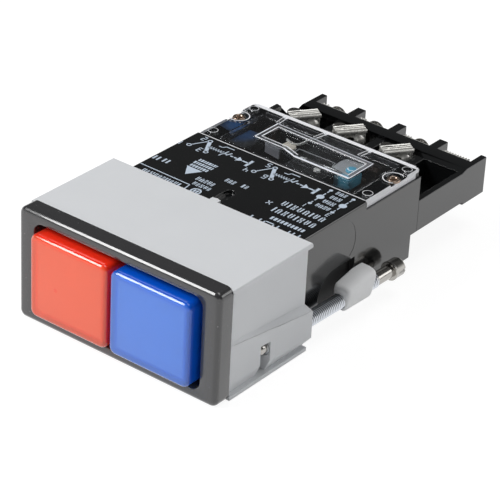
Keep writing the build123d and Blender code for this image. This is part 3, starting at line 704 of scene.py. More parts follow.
# sleeve: the CAD shape with its side slots narrowed and bores for the screws
sleeveShape = {
    "slotFrom": -14.0, "slotTo": -10.0, "inner": 20.5, "narrowTo": -11.45, "roof": -4.35, "top": -1.9,
    "foot": [(-10.9, 20.5), (-10.9, 23.2), (-10.8, 23.2)], "bend": -8.4,
    "bore": 1.6, "boreFrom": -12.5, "boreTo": 3.0, "edge": 0.07,
}
sleeve = show(bpy.data.objects.new("sleeve", finishMesh(weldedCopy("mounting_sleeve"), "sleeve")))
outerFrom, outerTo = (
    max(
        v.co.x for v in sleeve.data.vertices
        if abs(v.co.y / mm - y) < 0.005 and -8.5 < v.co.z / mm < -1.85
    ) / mm
    for y in (sleeveShape["slotFrom"], sleeveShape["slotTo"])
)


def sleeveFill(side, start, end, low):
    # part of the block that closes the side slot, between two depths and above a height
    loops = []
    for y in (start, end):
        share = (y - sleeveShape["slotFrom"]) / (sleeveShape["slotTo"] - sleeveShape["slotFrom"])
        outer = outerFrom + (outerTo - outerFrom) * share
        corners = [(outer, sleeveShape["top"]), (sleeveShape["inner"], sleeveShape["top"])]
        if low is None:
            corners += [(x, z) for z, x in sleeveShape["foot"]] + [(outer, sleeveShape["bend"])]
        else:
            corners += [(sleeveShape["inner"], low), (outer, low)]
        loops.append([(side * x, y, z) for x, z in corners])
    work = bmesh.new()
    addSolid(work, *loops)
    return closedMesh(work, "fill")


narrow = sleeveShape["narrowTo"]
for side in (-1, 1):
    joinShape(sleeve, sleeveFill(side, sleeveShape["slotFrom"], narrow, sleeveShape["roof"]), "UNION")
    joinShape(sleeve, sleeveFill(side, narrow, sleeveShape["slotTo"], None), "UNION")
    joinShape(sleeve, rodMesh(side, sleeveShape["bore"], sleeveShape["boreFrom"], sleeveShape["boreTo"]))
work = bmesh.new()
work.from_mesh(sleeve.data)
bpy.data.objects.remove(sleeve)
sleeve = addPiece(
    "mounting_sleevePiece", work, "sleeve_plastic", "base", ("mounting_sleeve",), edge=sleeveShape["edge"],
)
flatFaces(sleeve)

# the CAD shapes that only need softened edges
edgeWidths = {"switch_housing": 0.12, "terminal_tray": 0.15, "inner_base": 0.08}
for node, width in edgeWidths.items():
    dressed(node, width)
print("stage: mouldings made")

# printing on the housing: plain figures, bars and contact diagrams, read from the rear
printing = {
    "rise": 0.02, "line": 0.24, "hatchLine": 0.216, "boldLine": 0.384, "ring": 0.55, "repeat": 16.2,
    "segments": {
        "a": (0, 2, 1, 2), "b": (1, 2, 1, 1), "c": (1, 1, 1, 0), "d": (0, 0, 1, 0),
        "e": (0, 1, 0, 0), "f": (0, 2, 0, 1), "g": (0, 1, 1, 1),
    },
    "figures": {"1": "bc", "2": "abged", "3": "abgcd", "4": "fgbc", "5": "afgcd", "6": "afgedc"},
    "contacts": ((-18.5, 16.1), (-16.3, 20.0), (-14.15, 15.95)),
    "contactFigures": ((-19.6, 16.4), (-17.5, 20.8), (-15.3, 16.6)),
    "hatches": (-14.9, -14.3, -13.7, -13.1, -12.5, -11.9), "dashes": (-11.2, -9.6, -8.7),
    # strokes of a contact's sign: both ends, and the width
    "signs": [
        (-18.2, 16.6, -16.7, 19.5, 0.24), (-16.05, 19.5, -14.45, 16.5, 0.8),
        (-15.2, 18.0, -11.6, 18.05, 0.24), (-11.5, 16.6, -10.9, 19.2, 0.24),
        (-10.4, 17.6, -9.9, 19.0, 0.312), (-6.6, 18.0, -5.0, 18.0, 0.384), (-4.95, 16.7, -4.95, 19.3, 0.6),
    ],
    "bracket": [(-13.8, 19.7), (-12.9, 19.7), (-12.5, 20.4), (-10.5, 20.4)],
    "arrow": [(-7.9, 17.1), (-6.6, 18.0), (-7.9, 18.9)],
    "lampLines": (13.25, 18.55), "lampDashes": ((13.7, 14.5), (15.0, 16.0), (17.6, 18.6), (19.0, 20.0)),
    "lampDiscs": ((16.8, 0.8), (20.2, 0.4), (13.5, 0.4)),
    "triangle": [(-13.2, 9.2), (-9.4, 9.2), (-11.3, 6.2)],
    "underline": [(-20.4, 3.7), (-7.9, 3.5), (-7.5, 0.6)], "badge": (-5.4, 2.3),
    "badgeRing": (1.15, 0.8), "cross": ((7.0, 7.8, 8.0, 9.0), (8.0, 7.8, 7.0, 9.0)),
    # each row: left, right, y, height, widths of its bars, gap
    "rows": [
        (14.5, 17.6, 13.9, 1.3, (0.5, 0.7, 0.6), 0.25), (14.6, 17.4, 16.0, 1.3, (0.8, 0.5), 0.25),
        (14.7, 17.5, 18.2, 1.3, (0.5, 0.6, 0.7), 0.3), (14.6, 17.3, 20.2, 1.3, (0.5, 0.7), 0.3),
        (9.5, 19.3, 10.0, 1.8, (0.9, 0.35, 0.8, 0.9), 0.55),
        (9.6, 19.3, 7.0, 1.8, (0.35, 0.9, 0.8, 0.9), 0.55),
        (11.3, 19.4, 4.1, 1.1, (0.5, 0.6, 0.4), 0.3), (8.2, 19.6, 1.4, 2.2, (2.3, 2.4, 3.0), 0.7),
        (-4.1, -1.5, 9.8, 1.4, (0.5, 0.6, 0.5), 0.3), (-0.3, 1.2, 10.1, 1.3, (0.4, 0.5), 0.35),
        (-13.0, -8.6, 12.6, 0.9, (0.4, 0.5, 0.3), 0.2), (-13.2, -8.4, 11.3, 0.9, (0.5, 0.3, 0.4), 0.2),
        (-13.0, -8.6, 10.0, 0.9, (0.4, 0.4, 0.5), 0.2), (-8.6, -4.4, 6.5, 1.4, (0.6, 0.8, 0.5), 0.3),
        (-7.9, -3.4, 4.6, 1.3, (0.6, 0.5, 0.7), 0.3), (-18.4, -9.2, 1.9, 1.6, (0.7, 0.5, 0.9, 0.6), 0.3),
        (-20.2, -18.6, 7.6, 1.5, (0.4, 0.4), 0.5), (-18.0, -16.6, 7.8, 1.5, (0.4, 0.4), 0.5),
        (-5.9, -4.9, 2.3, 1.0, (0.4, 0.4), 0.2),
    ],
}
housingHigh = edges("switch_housing")[1]
deckTop = housingHigh.z
inkSpan = (deckTop - 0.01, deckTop + printing["rise"])
ink = bmesh.new()


def draw(x0, y0, x1, y1, width=printing["line"]):
    addStroke(ink, (x0, y0), (x1, y1), width, *inkSpan)


def drawFigure(figure, x, y, size):
    for name in printing["figures"][str(figure)]:
        u0, v0, u1, v1 = printing["segments"][name]
        draw(x - u0 * size, y - v0 * size, x - u1 * size, y - v1 * size, size * 0.3)


def drawRow(left, right, y, height, widths, gap):
    # blocks of uneven width in a row, where small print would stand
    x, i = left, 0
    while x < right - 0.2:
        width = min(widths[i % len(widths)], right - x)
        low, high = y - height / 2, y + height / 2
        if width < 0.45 or height < 1.2:
            addPrism(ink, rectangle(x, low, x + width, high), *inkSpan)
        else:
            bar = min(0.3, width * 0.36)
            for post in (x + bar / 2, x + width - bar / 2):
                draw(post, low, post, high, bar)
            across = (low + bar / 2, high - bar / 2, y)[i % 3]
            draw(x, across, x + width, across, bar)
        x += width + gap
        i += 1


for number, shift in enumerate((0, printing["repeat"])):
    for x, y in printing["contacts"]:
        addRing(ink, (x + shift, y), printing["ring"], printing["ring"] - printing["line"], *inkSpan)
    for x in printing["hatches"]:
        draw(x + shift, 17.6, x + 0.35 + shift, 18.5, printing["hatchLine"])
    for x in printing["dashes"]:
        draw(x + shift, 18.0, x + 0.65 + shift, 18.0, printing["boldLine"])
    for x0, y0, x1, y1, width in printing["signs"]:
        draw(x0 + shift, y0, x1 + shift, y1, width)
    addLine(ink, [(x + shift, y) for x, y in printing["bracket"]], printing["line"], *inkSpan)
    addPrism(ink, [(x + shift, y) for x, y in printing["arrow"]], *inkSpan)
    for place, (x, y) in enumerate(printing["contactFigures"]):
        drawFigure(1 + place + 3 * number, x + shift, y, 0.72)
for number, x in enumerate(printing["lampLines"]):
    for y, radius in printing["lampDiscs"]:
        addDisc(ink, (x, y), radius, *inkSpan)
    for start, end in printing["lampDashes"]:
        draw(x, start, x, end)
    drawFigure(2 * number + 1, x + 0.3, 12.8, 0.6)
for row in printing["rows"]:
    drawRow(*row)
addPrism(ink, printing["triangle"], *inkSpan)
addLine(ink, printing["underline"], printing["line"], *inkSpan)
addRing(ink, printing["badge"], *printing["badgeRing"], *inkSpan)
for stroke in printing["cross"]:
    draw(*stroke)
addPiece("printing", ink, "printing_ink", slot="white_plastic")

# the round nose of the snap nub, and the parting line on both sides of the housing
nub = {"at": (-0.35, 1.6), "radius": 1.0, "deep": 0.6, "rise": 0.28}
work = bmesh.new()
addDisc(work, nub["at"], nub["radius"], deckTop - nub["deep"], deckTop + nub["rise"], 28)
addPiece("nubNose", work, "sleeve_plastic", edge=0.1)
partLine = {
    "radius": 0.05,
    "through": [
        (14.2, 9.6), (15.6, 8.7), (16.9, 7.6), (17.75, 6.4), (18.3, 4.8), (18.4, 2.9), (17.9, 1.4),
        (16.85, 0.26),
    ],
}
work = bmesh.new()
for wall in (-housingHigh.x, housingHigh.x):
    addSolid(work, *(
        [(wall + a, y, z + b) for a, b in circle(6, partLine["radius"])] for y, z in partLine["through"]
    ))
addPiece("partingLine", work, "black_plastic")
print("stage: printing made")

# clear cover: the CAD shell with its window frame redrawn, ribs, rings, white strips that paint highlights,
# and two eyelets
coverShape = {
    "lip": 0.25, "edge": 0.08, "soft": 0.1, "line": 0.2, "blankCorner": 2.0, "corner": 0.5,
    "window": [(-10.6, 34.5), (12.6, 33.8), (12.7, 26.5), (-0.1, 26.55), (-3.7, 27.85), (-10.6, 28.0)],
    "frameWidth": 1.15, "ribWidth": 0.9, "ribs": ((-11.3, -0.3), (-2.0, 0.5), (8.9, 0.4)),
    # the lines along the ribs' edges and the rear band are painted highlights
    "ribFrom": 35.3, "ribTo": 38.2, "ribGlint": 0.14, "ribGlintAt": (-0.4, 0.4), "glintBand": 1.0,
    # the blobs under the rear band, where the ribs meet it, are painted highlights
    "bandBlobs": (-11.6, -1.5, 9.3), "bandBlob": [(-0.7, -0.2), (0.6, -0.2), (0.3, -1.1), (-0.3, -1.1)],
    # the arcs round the eyelet wells are painted highlights on the wells' edges
    "well": 2.15, "wellIn": 1.8, "wellAt": 32.6,
    "dotsX": 19.0, "dotsY": (24.2, 37.3), "dots": (1.05, 0.95),
    # painted highlights: white lines inside and outside the window's frame: how far out, and each side's
    # width
    "rimGlints": ((-0.52, (0.14, 0.16, 0, 0.2, 0.18, 0.24)), (0.42, (0.14, 0.18, 0.52, 0.34, 0.2, 0.26))),
    "haze": (((-0.6, 34.2), (12.6, 33.8), 0.62), ((12.6, 33.6), (12.65, 26.8), 0.5)),
}
coverHigh = edges("clear_cover")[1]
lidTop = coverHigh.z - coverShape["lip"]
lidLow = lidTop - 0.02
work = weldedCopy("clear_cover")
for vert in work.verts:
    vert.co.z = min(vert.co.z, lidTop * mm)
bmesh.ops.remove_doubles(work, verts=work.verts, dist=0.002 * mm)
bmesh.ops.dissolve_degenerate(work, edges=work.edges, dist=0.002 * mm)
mergeFacets(work)
cover = addPiece(
    "coverPiece", work, "clear_plastic", "base", ("clear_cover",), edge=coverShape["edge"],
)
# its rear corners are tighter than the blank's
blank = coverShape["blankCorner"]
shift = (blank - coverShape["corner"]) * mm
for vert in cover.data.vertices:
    side = 1 if vert.co.x > 0 else -1
    centre = Vector((side * (coverHigh.x - blank), coverHigh.y - blank)) * mm
    out = Vector((vert.co.x, vert.co.y)) - centre
    if out.x * side > 0 and out.y > 0 and out.length > (blank - 0.5) * mm:
        moved = centre + Vector((side * shift, shift)) + out.normalized() * (out.length - shift)
        vert.co.x, vert.co.y = moved
trim = bmesh.new()
# white strips that paint highlights on the cover's window rims, ribs, rear edge and wells
glintStrips = bmesh.new()
window = coverShape["window"]
addFrame(trim, window, coverShape["frameWidth"], lidLow, coverHigh.z, coverShape["soft"])
for x, lean in coverShape["ribs"]:
    start, end = (x, coverShape["ribFrom"]), (x + lean, coverShape["ribTo"])
    addStroke(trim, start, end, coverShape["ribWidth"], lidLow, coverHigh.z - 0.05)
    for side in coverShape["ribGlintAt"]:
        sides = [(px + side, py) for px, py in (start, end)]
        addStroke(glintStrips, *sides, coverShape["ribGlint"], coverHigh.z - 0.09, coverHigh.z - 0.03)
addPiece("coverTrim", trim, "clear_plastic")
for amount, widths in coverShape["rimGlints"]:
    rim = [tuple(p) for p in offsetPath(window, amount)]
    for start, end, width in zip(rim, rim[1:] + rim[:1], widths):
        if width:
            addStroke(glintStrips, start, end, width, coverHigh.z - 0.06, coverHigh.z)
rearEdge = coverHigh.y - coverShape["glintBand"] / 2 - 0.02
start, end = (-coverHigh.x + 1.0, rearEdge), (coverHigh.x - 0.9, rearEdge)
addStroke(glintStrips, start, end, coverShape["glintBand"], lidLow, lidTop + 0.03)
for x in coverShape["bandBlobs"]:
    addPrism(glintStrips, [(x + a, rearEdge + b) for a, b in coverShape["bandBlob"]], lidLow, lidTop + 0.04)
for side in (-1, 1):
    for y in coverShape["dotsY"]:
        addRing(glintStrips, (side * coverShape["dotsX"], y), *coverShape["dots"], lidLow, lidTop + 0.01)
    arc = []
    for angle in range(-165, 166, 15):
        x = housingHigh.x - coverShape["wellIn"] - coverShape["well"] * cos(radians(angle))
        arc.append((side * x, coverShape["wellAt"] + coverShape["well"] * sin(radians(angle))))
    for start, end in zip(arc, arc[1:]):
        if max(abs(start[0]), abs(end[0])) < coverHigh.x - 0.1:
            addStroke(glintStrips, start, end, coverShape["line"], lidLow, lidTop + 0.02)
addPiece("coverGlints", glintStrips, "frosted_plastic", slot="clear_plastic")
work = bmesh.new()
for start, end, width in coverShape["haze"]:
    addStroke(work, start, end, width, lidTop - 0.01, coverHigh.z - 0.03)
addPiece("coverHaze", work, "haze_plastic", slot="clear_plastic")

eyelet = {
    "foot": 1.1, "outer": 1.35, "rimHigh": 0.5, "crown": 1.1, "crownHigh": 0.3,
    "lip": 0.85, "lipDown": 0.1, "bore": 0.66, "boreDown": 0.4, "deep": 2.2,
}
for where in ("left", "right"):
    node = "cover_rivet_" + where
    low, high = edges(node)
    centre = middleOf(node)
    rim, bore, foot = eyelet["outer"], eyelet["bore"], eyelet["foot"]
    under, floorAt = high.z - eyelet["rimHigh"], high.z - eyelet["deep"]
    profile = [(0, low.z), (foot, low.z), (foot, under), (rim, under)]
    for back, rise in quarterTurn(6):
        profile.append((rim - (rim - eyelet["crown"]) * back, high.z - eyelet["crownHigh"] * rise))
    profile.append((eyelet["lip"], high.z - eyelet["lipDown"]))
    profile += [(bore, high.z - eyelet["boreDown"]), (bore, floorAt), (0, floorAt)]
    work = bmesh.new()
    lathe(work, profile, (centre.x, centre.y, 0), (0, 0, 1), 40)
    addPiece("eyelet" + where, work, "brass", "base", (node,), smoothBelow=40)
print("stage: cover made")

# pieces under the cover: prisms as outline, foot and top; bars as points, width, foot and top
low, high = edges("lamp_terminal_block")
underCover = {
    "block": (
        [(-6.9, 29.8), (-3.2, 29.5), (-3.1, 31.6), (-4.4, 32.4), (-6.9, 32.4)], low.z, high.z - 0.75,
    ),
    "cap": (
        [(-6.3, 30.3), (-3.6, 29.8), (-3.3, 31.0), (-4.3, 32.3), (-6.2, 32.6)], high.z - 0.8, high.z - 0.1,
    ),
    "guard": ([(-9.6, 29.2), (-5.7, 28.6), (-5.7, 29.1), (-9.6, 29.7)], 6.2, 8.4),
    "arm": (rectangle(7.8, 28.4, 9.15, 31.0), 5.4, 7.7),
    "plate": ([(6.5, 29.8), (6.2, 32.9), (6.7, 34.6), (11.5, 35.0), (11.9, 29.3)], 8.43, 8.6),
    # patch: a thin sheet that paints the deep blue shade seen under the cover's left side
    "patch": ([(-20.3, 27.8), (-17.2, 27.2), (-17.2, 36.2), (-20.3, 36.2)], 8.39, 8.43),
    "strip": ([(-6.6, 32.2), (-4.6, 31.3), (-3.4, 32.2), (-3.2, 34.6), (-2.4, 36.2)], 0.35, 8.8, 9.25),
    # slabEdge: a grey strip that paints the highlight on the slab's lit front edge
    "slabEdge": ([(-2.7, 28.9), (-3.0, 31.6), (5.8, 31.7), (6.3, 29.9)], 0.16, 8.39, 8.47),
    "clips": ((4.3, 26.6, 1.3, 0.7), (5.6, 28.4, 1.2, 0.8), (0.4, 27.8, 0.4, 1.4), (-0.3, 28.4, 0.9, 0.3)),
    "clipSpan": (8.3, 8.75),
}


def prismPiece(name, shape, finish, **rest):
    work = bmesh.new()
    addPrism(work, *underCover[shape])
    addPiece(name, work, finish, **rest)


prismPiece("terminalBlock", "block", "black_plastic", replaced=("lamp_terminal_block",), edge=0.25)
prismPiece("terminalCap", "cap", "amber_plastic", slot="white_plastic", edge=0.18)
prismPiece("terminalGuard", "guard", "haze_plastic", slot="white_plastic")
work = bmesh.new()
addLine(work, *underCover["strip"])
for x, y, wide, deep in underCover["clips"]:
    clip = [(x, y), (x + wide, y + 0.1), (x + wide, y + deep), (x, y + deep)]
    addPrism(work, clip, *underCover["clipSpan"])
addPiece("contactClips", work, "terminal_metal", edge=0.06, segments=2)
# painted highlight: a grey strip along the slab's front edge, where it catches the light
work = bmesh.new()
addLine(work, *underCover["slabEdge"])
addPiece("slabEdge", work, "grey_plastic", slot="black_plastic")

# plungers: the CAD rails, with their rear ends redrawn
plungerShape = {
    "cut": 28.2, "head": rectangle(9.2, 28.0, 11.8, 32.4), "headSpan": (6.0, 8.2),
    "knob": 1.2, "knobAt": (10.3, 31.0), "knobFrom": 8.0, "edge": 0.1,
    # mark: the radius of the painted highlight arc on the knob's top
    "mark": 0.8, "glintLine": 0.22, "glintRise": 0.02,
    "slabTop": 7.1, "slab": [(-16.9, 24.2), (-13.0, 24.2), (-11.9, 28.0), (-12.4, 33.2), (-16.9, 33.2)],
    "slabSpan": (6.5, 7.3), "slabEdge": 0.12,
}
high = edges("blue_plunger")[1]
plunger = weldedCopy("blue_plunger")
cut = bmesh.ops.bisect_plane(
    plunger, geom=plunger.verts[:] + plunger.edges[:] + plunger.faces[:],
    plane_co=(0, plungerShape["cut"] * mm, 0), plane_no=(0, 1, 0), clear_outer=True,
)
rim = [part for part in cut["geom_cut"] if isinstance(part, bmesh.types.BMEdge)]
bmesh.ops.holes_fill(plunger, edges=rim, sides=0)
addPrism(plunger, plungerShape["head"], *plungerShape["headSpan"])
x, y = plungerShape["knobAt"]
radius, start = plungerShape["knob"], plungerShape["knobFrom"]
knob = [(0, start), (radius, start), (radius, high.z - 0.2), (radius - 0.2, high.z), (0, high.z)]
lathe(plunger, knob, (x, y, 0), (0, 0, 1), 32)
addPiece(
    "bluePlunger", plunger, "plunger_plastic", "blue_button", ("blue_plunger",), edge=plungerShape["edge"],
)
onButton = {"body": "blue_button", "slot": "plunger_plastic"}
# the arm's finish is the plunger's teal painted in shade
prismPiece("plungerArm", "arm", "teal_plastic", edge=0.2, **onButton)
prismPiece("knobPlate", "plate", "grey_plastic", edge=0.05, segments=2, **onButton)
# painted highlight: a white arc on the knob's top, where it catches the light
work = bmesh.new()
mark, rise = plungerShape["mark"], plungerShape["glintRise"]
arc = [(x + mark * cos(radians(t)), y + mark * sin(radians(t))) for t in range(190, 331, 20)]
addLine(work, arc, plungerShape["glintLine"], high.z - rise, high.z + rise)
addPiece("knobGlint", work, "frosted_plastic", **onButton)
plunger = weldedCopy("red_plunger")
for vert in plunger.verts:
    vert.co.z = min(vert.co.z, plungerShape["slabTop"] * mm)
bmesh.ops.dissolve_degenerate(plunger, edges=plunger.edges, dist=0.002 * mm)
bmesh.ops.remove_doubles(plunger, verts=plunger.verts, dist=0.002 * mm)
addPrism(plunger, plungerShape["slab"], *plungerShape["slabSpan"])
# its finish paints shade: dark, and darker away from one lit spot
addPiece(
    "redPlunger", plunger, "dark_plunger", "red_button", ("red_plunger",), edge=plungerShape["slabEdge"],
)
# painted shade: a thin sheet in the shaded plunger finish, for the deep blue shade under the cover's left
# side
prismPiece("blueShadePatch", "patch", "dark_plunger", slot="black_plastic")


# threads and springs: curves and grids made by node trees

def nodeTree(name, sizes):
    tree = bpy.data.node_groups.new(name, "GeometryNodeTree")
    for size, value in sizes.items():
        kind = "NodeSocketInt" if isinstance(value, int) else "NodeSocketFloat"
        tree.interface.new_socket(size, in_out="INPUT", socket_type=kind).default_value = value
    tree.interface.new_socket("Material", in_out="INPUT", socket_type="NodeSocketMaterial")
    tree.interface.new_socket("Geometry", in_out="OUTPUT", socket_type="NodeSocketGeometry")
    return tree, tree.nodes.new("NodeGroupInput").outputs, tree.nodes.new("NodeGroupOutput")


def placedAndRealised(tree, shape, sizes, end):
    # turns the shape to its axis, moves it to its place and gives it its material
    values = {"Geometry": shape}
    for part, socket in (("Turn", "Rotation"), ("Place", "Translation")):
        axes = {axis: sizes[part + " " + axis] for axis in "XYZ"}
        values[socket] = addNode(tree, "ShaderNodeCombineXYZ", axes).outputs[0]
    turned = addNode(tree, "GeometryNodeTransform", values)
    smooth = addNode(tree, "GeometryNodeSetShadeSmooth", {0: turned.outputs[0]})
    real = addNode(tree, "GeometryNodeRealizeInstances", {0: smooth.outputs[0]})
    painted = addNode(tree, "GeometryNodeSetMaterial", {
        "Geometry": real.outputs[0], "Material": sizes["Material"],
    })
    feed(end, {0: painted.outputs[0]})


placing = {part + " " + axis: 0.0 for part in ("Turn", "Place") for axis in "XYZ"}


def springTree():
    tree, sizes, end = nodeTree("coilSpring", {
        "Radius": 3.4 * mm, "Wire": 0.2 * mm, "Height": 5.5 * mm, "Turns": 5.0, **placing,
    })
    spiral = addNode(tree, "GeometryNodeCurveSpiral", {
        "Resolution": 40, "Rotations": sizes["Turns"], "Start Radius": sizes["Radius"],
        "End Radius": sizes["Radius"], "Height": sizes["Height"],
    })
    wire = addNode(tree, "GeometryNodeCurvePrimitiveCircle", {"Resolution": 10, "Radius": sizes["Wire"]})
    coil = addNode(tree, "GeometryNodeCurveToMesh", {
        "Curve": spiral.outputs[0], "Profile Curve": wire.outputs[0], "Fill Caps": True,
    })
    placedAndRealised(tree, coil.outputs[0], sizes, end)
    return tree


def threadTree():
    tree, sizes, end = nodeTree("screwThread", {
        "Length": 10 * mm, "Radius": 1.5 * mm, "Depth": 0.28 * mm, "Pitch": 0.5 * mm, "Turns": 40.0,
        "Around": 33, "Along": 241, **placing,
    })

    def does(operation, first, second=None):
        return calculate(tree, operation, first, second)

    grid = addNode(tree, "GeometryNodeMeshGrid", {
        "Vertices X": sizes["Around"], "Vertices Y": sizes["Along"],
    })
    where = addNode(tree, "GeometryNodeInputPosition")
    parts = addNode(tree, "ShaderNodeSeparateXYZ", {0: where.outputs[0]})
    share = does("ADD", parts.outputs["X"], 0.5)
    angle = does("MULTIPLY", share, tau)
    # each row of the grid climbs one pitch per turn, so the crests run along rows
    rows = does("MULTIPLY", does("ADD", parts.outputs["Y"], 0.5), sizes["Turns"])
    free = does("MULTIPLY", does("SUBTRACT", does("ADD", rows, share), 1.0), sizes["Pitch"])
    distance = does("MINIMUM", does("MAXIMUM", free, 0.0), sizes["Length"])
    turns = does("SUBTRACT", does("DIVIDE", distance, sizes["Pitch"]), share)
    wave = does("MULTIPLY", does("PINGPONG", turns, 0.5), 2.0)
    radius = does("SUBTRACT", sizes["Radius"], does("MULTIPLY", wave, sizes["Depth"]))
    point = addNode(tree, "ShaderNodeCombineXYZ", {
        "X": does("MULTIPLY", radius, does("COSINE", angle)),
        "Y": does("MULTIPLY", radius, does("SINE", angle)), "Z": distance,
    })
    stored = addNode(
        tree, "GeometryNodeStoreNamedAttribute",
        {"Name": "depth", "Geometry": grid.outputs["Mesh"], "Value": wave},
        data_type="FLOAT", domain="POINT",
    )
    moved = addNode(tree, "GeometryNodeSetPosition", {
        "Geometry": stored.outputs[0], "Position": point.outputs[0],
    })
    joined = addNode(tree, "GeometryNodeMergeByDistance", {
        "Geometry": moved.outputs[0], "Distance": 0.001 * mm,
    })
    placedAndRealised(tree, joined.outputs[0], sizes, end)
    return tree


def grow(name, tree, sizes, finish):
    # the node tree's result as a plain mesh
    made = show(bpy.data.objects.new(name, bpy.data.meshes.new(name)))
    modifier = made.modifiers.new("grow", "NODES")
    modifier.node_group = tree
    for socket in tree.interface.items_tree:
        if socket.in_out == "INPUT":
            given = finishes[finish] if socket.name == "Material" else None
            modifier[socket.identifier] = given or sizes.get(socket.name, socket.default_value)
    mesh = baked(made).data
    bpy.data.objects.remove(made)
    return mesh


springShape = {"wire": 0.26, "turns": 5.0}
springs = springTree()
for colour in ("red", "blue"):
    node = colour + "_return_spring"
    low, high = edges(node)
    centre = middleOf(node)
    wire = springShape["wire"]
    mesh = grow(colour + "Spring", springs, {
        "Radius": ((high.x - low.x) / 2 - wire) * mm, "Wire": wire * mm,
        "Height": (high.y - low.y - 2 * wire) * mm, "Turns": springShape["turns"], "Turn X": -pi / 2,
        "Place X": centre.x * mm, "Place Y": (low.y + wire) * mm, "Place Z": centre.z * mm,
    }, "spring_steel")
    addObject(colour + "Spring", mesh, "spring_steel", "base", (node,))

# side screws: thread, plain shank, stepped collar, slotted head and rounded front end
screwShape = {
    "thread": 1.5, "core": 1.2, "shank": 1.34, "neck": 1.22, "pitch": 0.5, "rows": 6,
    "threadFrom": -11.4, "threadTo": 22.0, "headFrom": 26.65, "headTo": 29.9, "rim": 2.0, "head": 1.92,
    "slot": 0.55, "slotDeep": 0.9, "slotReach": 3.0,
    "frontEnd": [
        (0, -13.4), (0.35, -13.38), (0.7, -13.28), (1.0, -13.08), (1.2, -12.8), (1.27, -12.5),
        (1.27, -11.35), (0, -11.35),
    ],
}
threads = threadTree()
for side, where in ((-1, "left"), (1, "right")):
    node, body = where + "_mounting_screw", where + "_screw"
    foot, lean = axisOf(side)
    start, threadTo = screwShape["threadFrom"], screwShape["threadTo"]
    begin = foot + lean * start
    turns = int((threadTo - start) / screwShape["pitch"]) + 2
    mesh = grow(node, threads, {
        "Length": (threadTo - start) * mm, "Radius": screwShape["thread"] * mm,
        "Depth": (screwShape["thread"] - screwShape["core"]) * mm, "Pitch": screwShape["pitch"] * mm,
        "Turns": float(turns), "Along": turns * screwShape["rows"] + 1,
        "Turn X": -pi / 2, "Turn Z": -side * radians(screwAxis["splay"]),
        "Place X": begin.x * mm, "Place Y": begin.y * mm, "Place Z": begin.z * mm,
    }, "thread_steel")
    work = bmesh.new()
    work.from_mesh(mesh)
    bmesh.ops.dissolve_degenerate(work, edges=work.edges, dist=0.001 * mm)
    bmesh.ops.holes_fill(work, edges=[edge for edge in work.edges if edge.is_boundary], sides=0)
    addPiece(node + "Thread", work, "thread_steel", body, slot="steel", smoothBelow=75)
    shank, neck, rim, head = (screwShape[key] for key in ("shank", "neck", "rim", "head"))
    tip, headFrom = screwShape["headTo"], screwShape["headFrom"]
    work = bmesh.new()
    lathe(work, [
        (0, threadTo - 0.4), (1.3, threadTo - 0.4), (shank, threadTo + 0.15), (shank, headFrom - 0.5),
        (neck, headFrom - 0.35), (neck, headFrom), (rim - 0.12, headFrom), (rim, headFrom + 0.12),
        (rim, headFrom + 0.35), (rim - 0.05, headFrom + 0.45), (head, headFrom + 0.55), (head, tip - 0.5),
        (head - 0.12, tip - 0.2), (head - 0.32, tip - 0.05), (head - 0.6, tip), (0, tip),
    ], foot, lean, 56)
    screw = addPiece(node + "Piece", work, "steel", body, (node,), smoothBelow=35)
    # the slot is cut from the head by a thin block
    across = Vector((lean.y, -lean.x, 0))
    reach, deep, half = screwShape["slotReach"], screwShape["slotDeep"], screwShape["slot"] / 2
    corners = [foot + lean * (tip + v) + across * u for u, v in rectangle(-reach, -deep, reach, 1)]
    blade = bmesh.new()
    addSolid(blade, *([c + Vector((0, 0, rise)) for c in corners] for rise in (-half, half)))
    joinShape(screw, closedMesh(blade, "blade"))
for side, where in ((-1, "left"), (1, "right")):
    ring = where + "_retaining_ring"
    work = bmesh.new()
    lathe(work, screwShape["frontEnd"], *axisOf(side), 40)
    addPiece(ring + "Piece", work, "steel", where + "_screw", (ring,), smoothBelow=50)
print("stage: screws and springs made")

# claws: smooth pebbles around the screws, with a sloping top at the front
clawShape = {
    "front": 11.0, "length": 8.5, "soft": 0.7, "bore": 1.56, "high": 4.6, "drop": 1.3, "slope": 5.2,
    "waist": 1.0, "middle": (0.35, 1.4),
    "ends": [0.0, 0.08, 0.25, 0.5, 0.8], "between": [1.5, 2.5, 3.6, 4.9, 6.2],
    "outline": [
        (-1.6, -1.8), (0.3, -2.0), (1.45, -1.9), (2.0, 0.3), (2.4, 2.4), (2.47, 3.4), (2.2, 4.3),
        (1.1, 4.75), (-0.4, 4.8), (-1.6, 4.7),
    ],
}


def cornersCut(points, share=0.25):
    # each corner of a closed outline cut in two, which rounds it
    cut = []
    for point, after in zip(points, points[1:] + points[:1]):
        cut += [point.lerp(after, share), point.lerp(after, 1 - share)]
    return cut


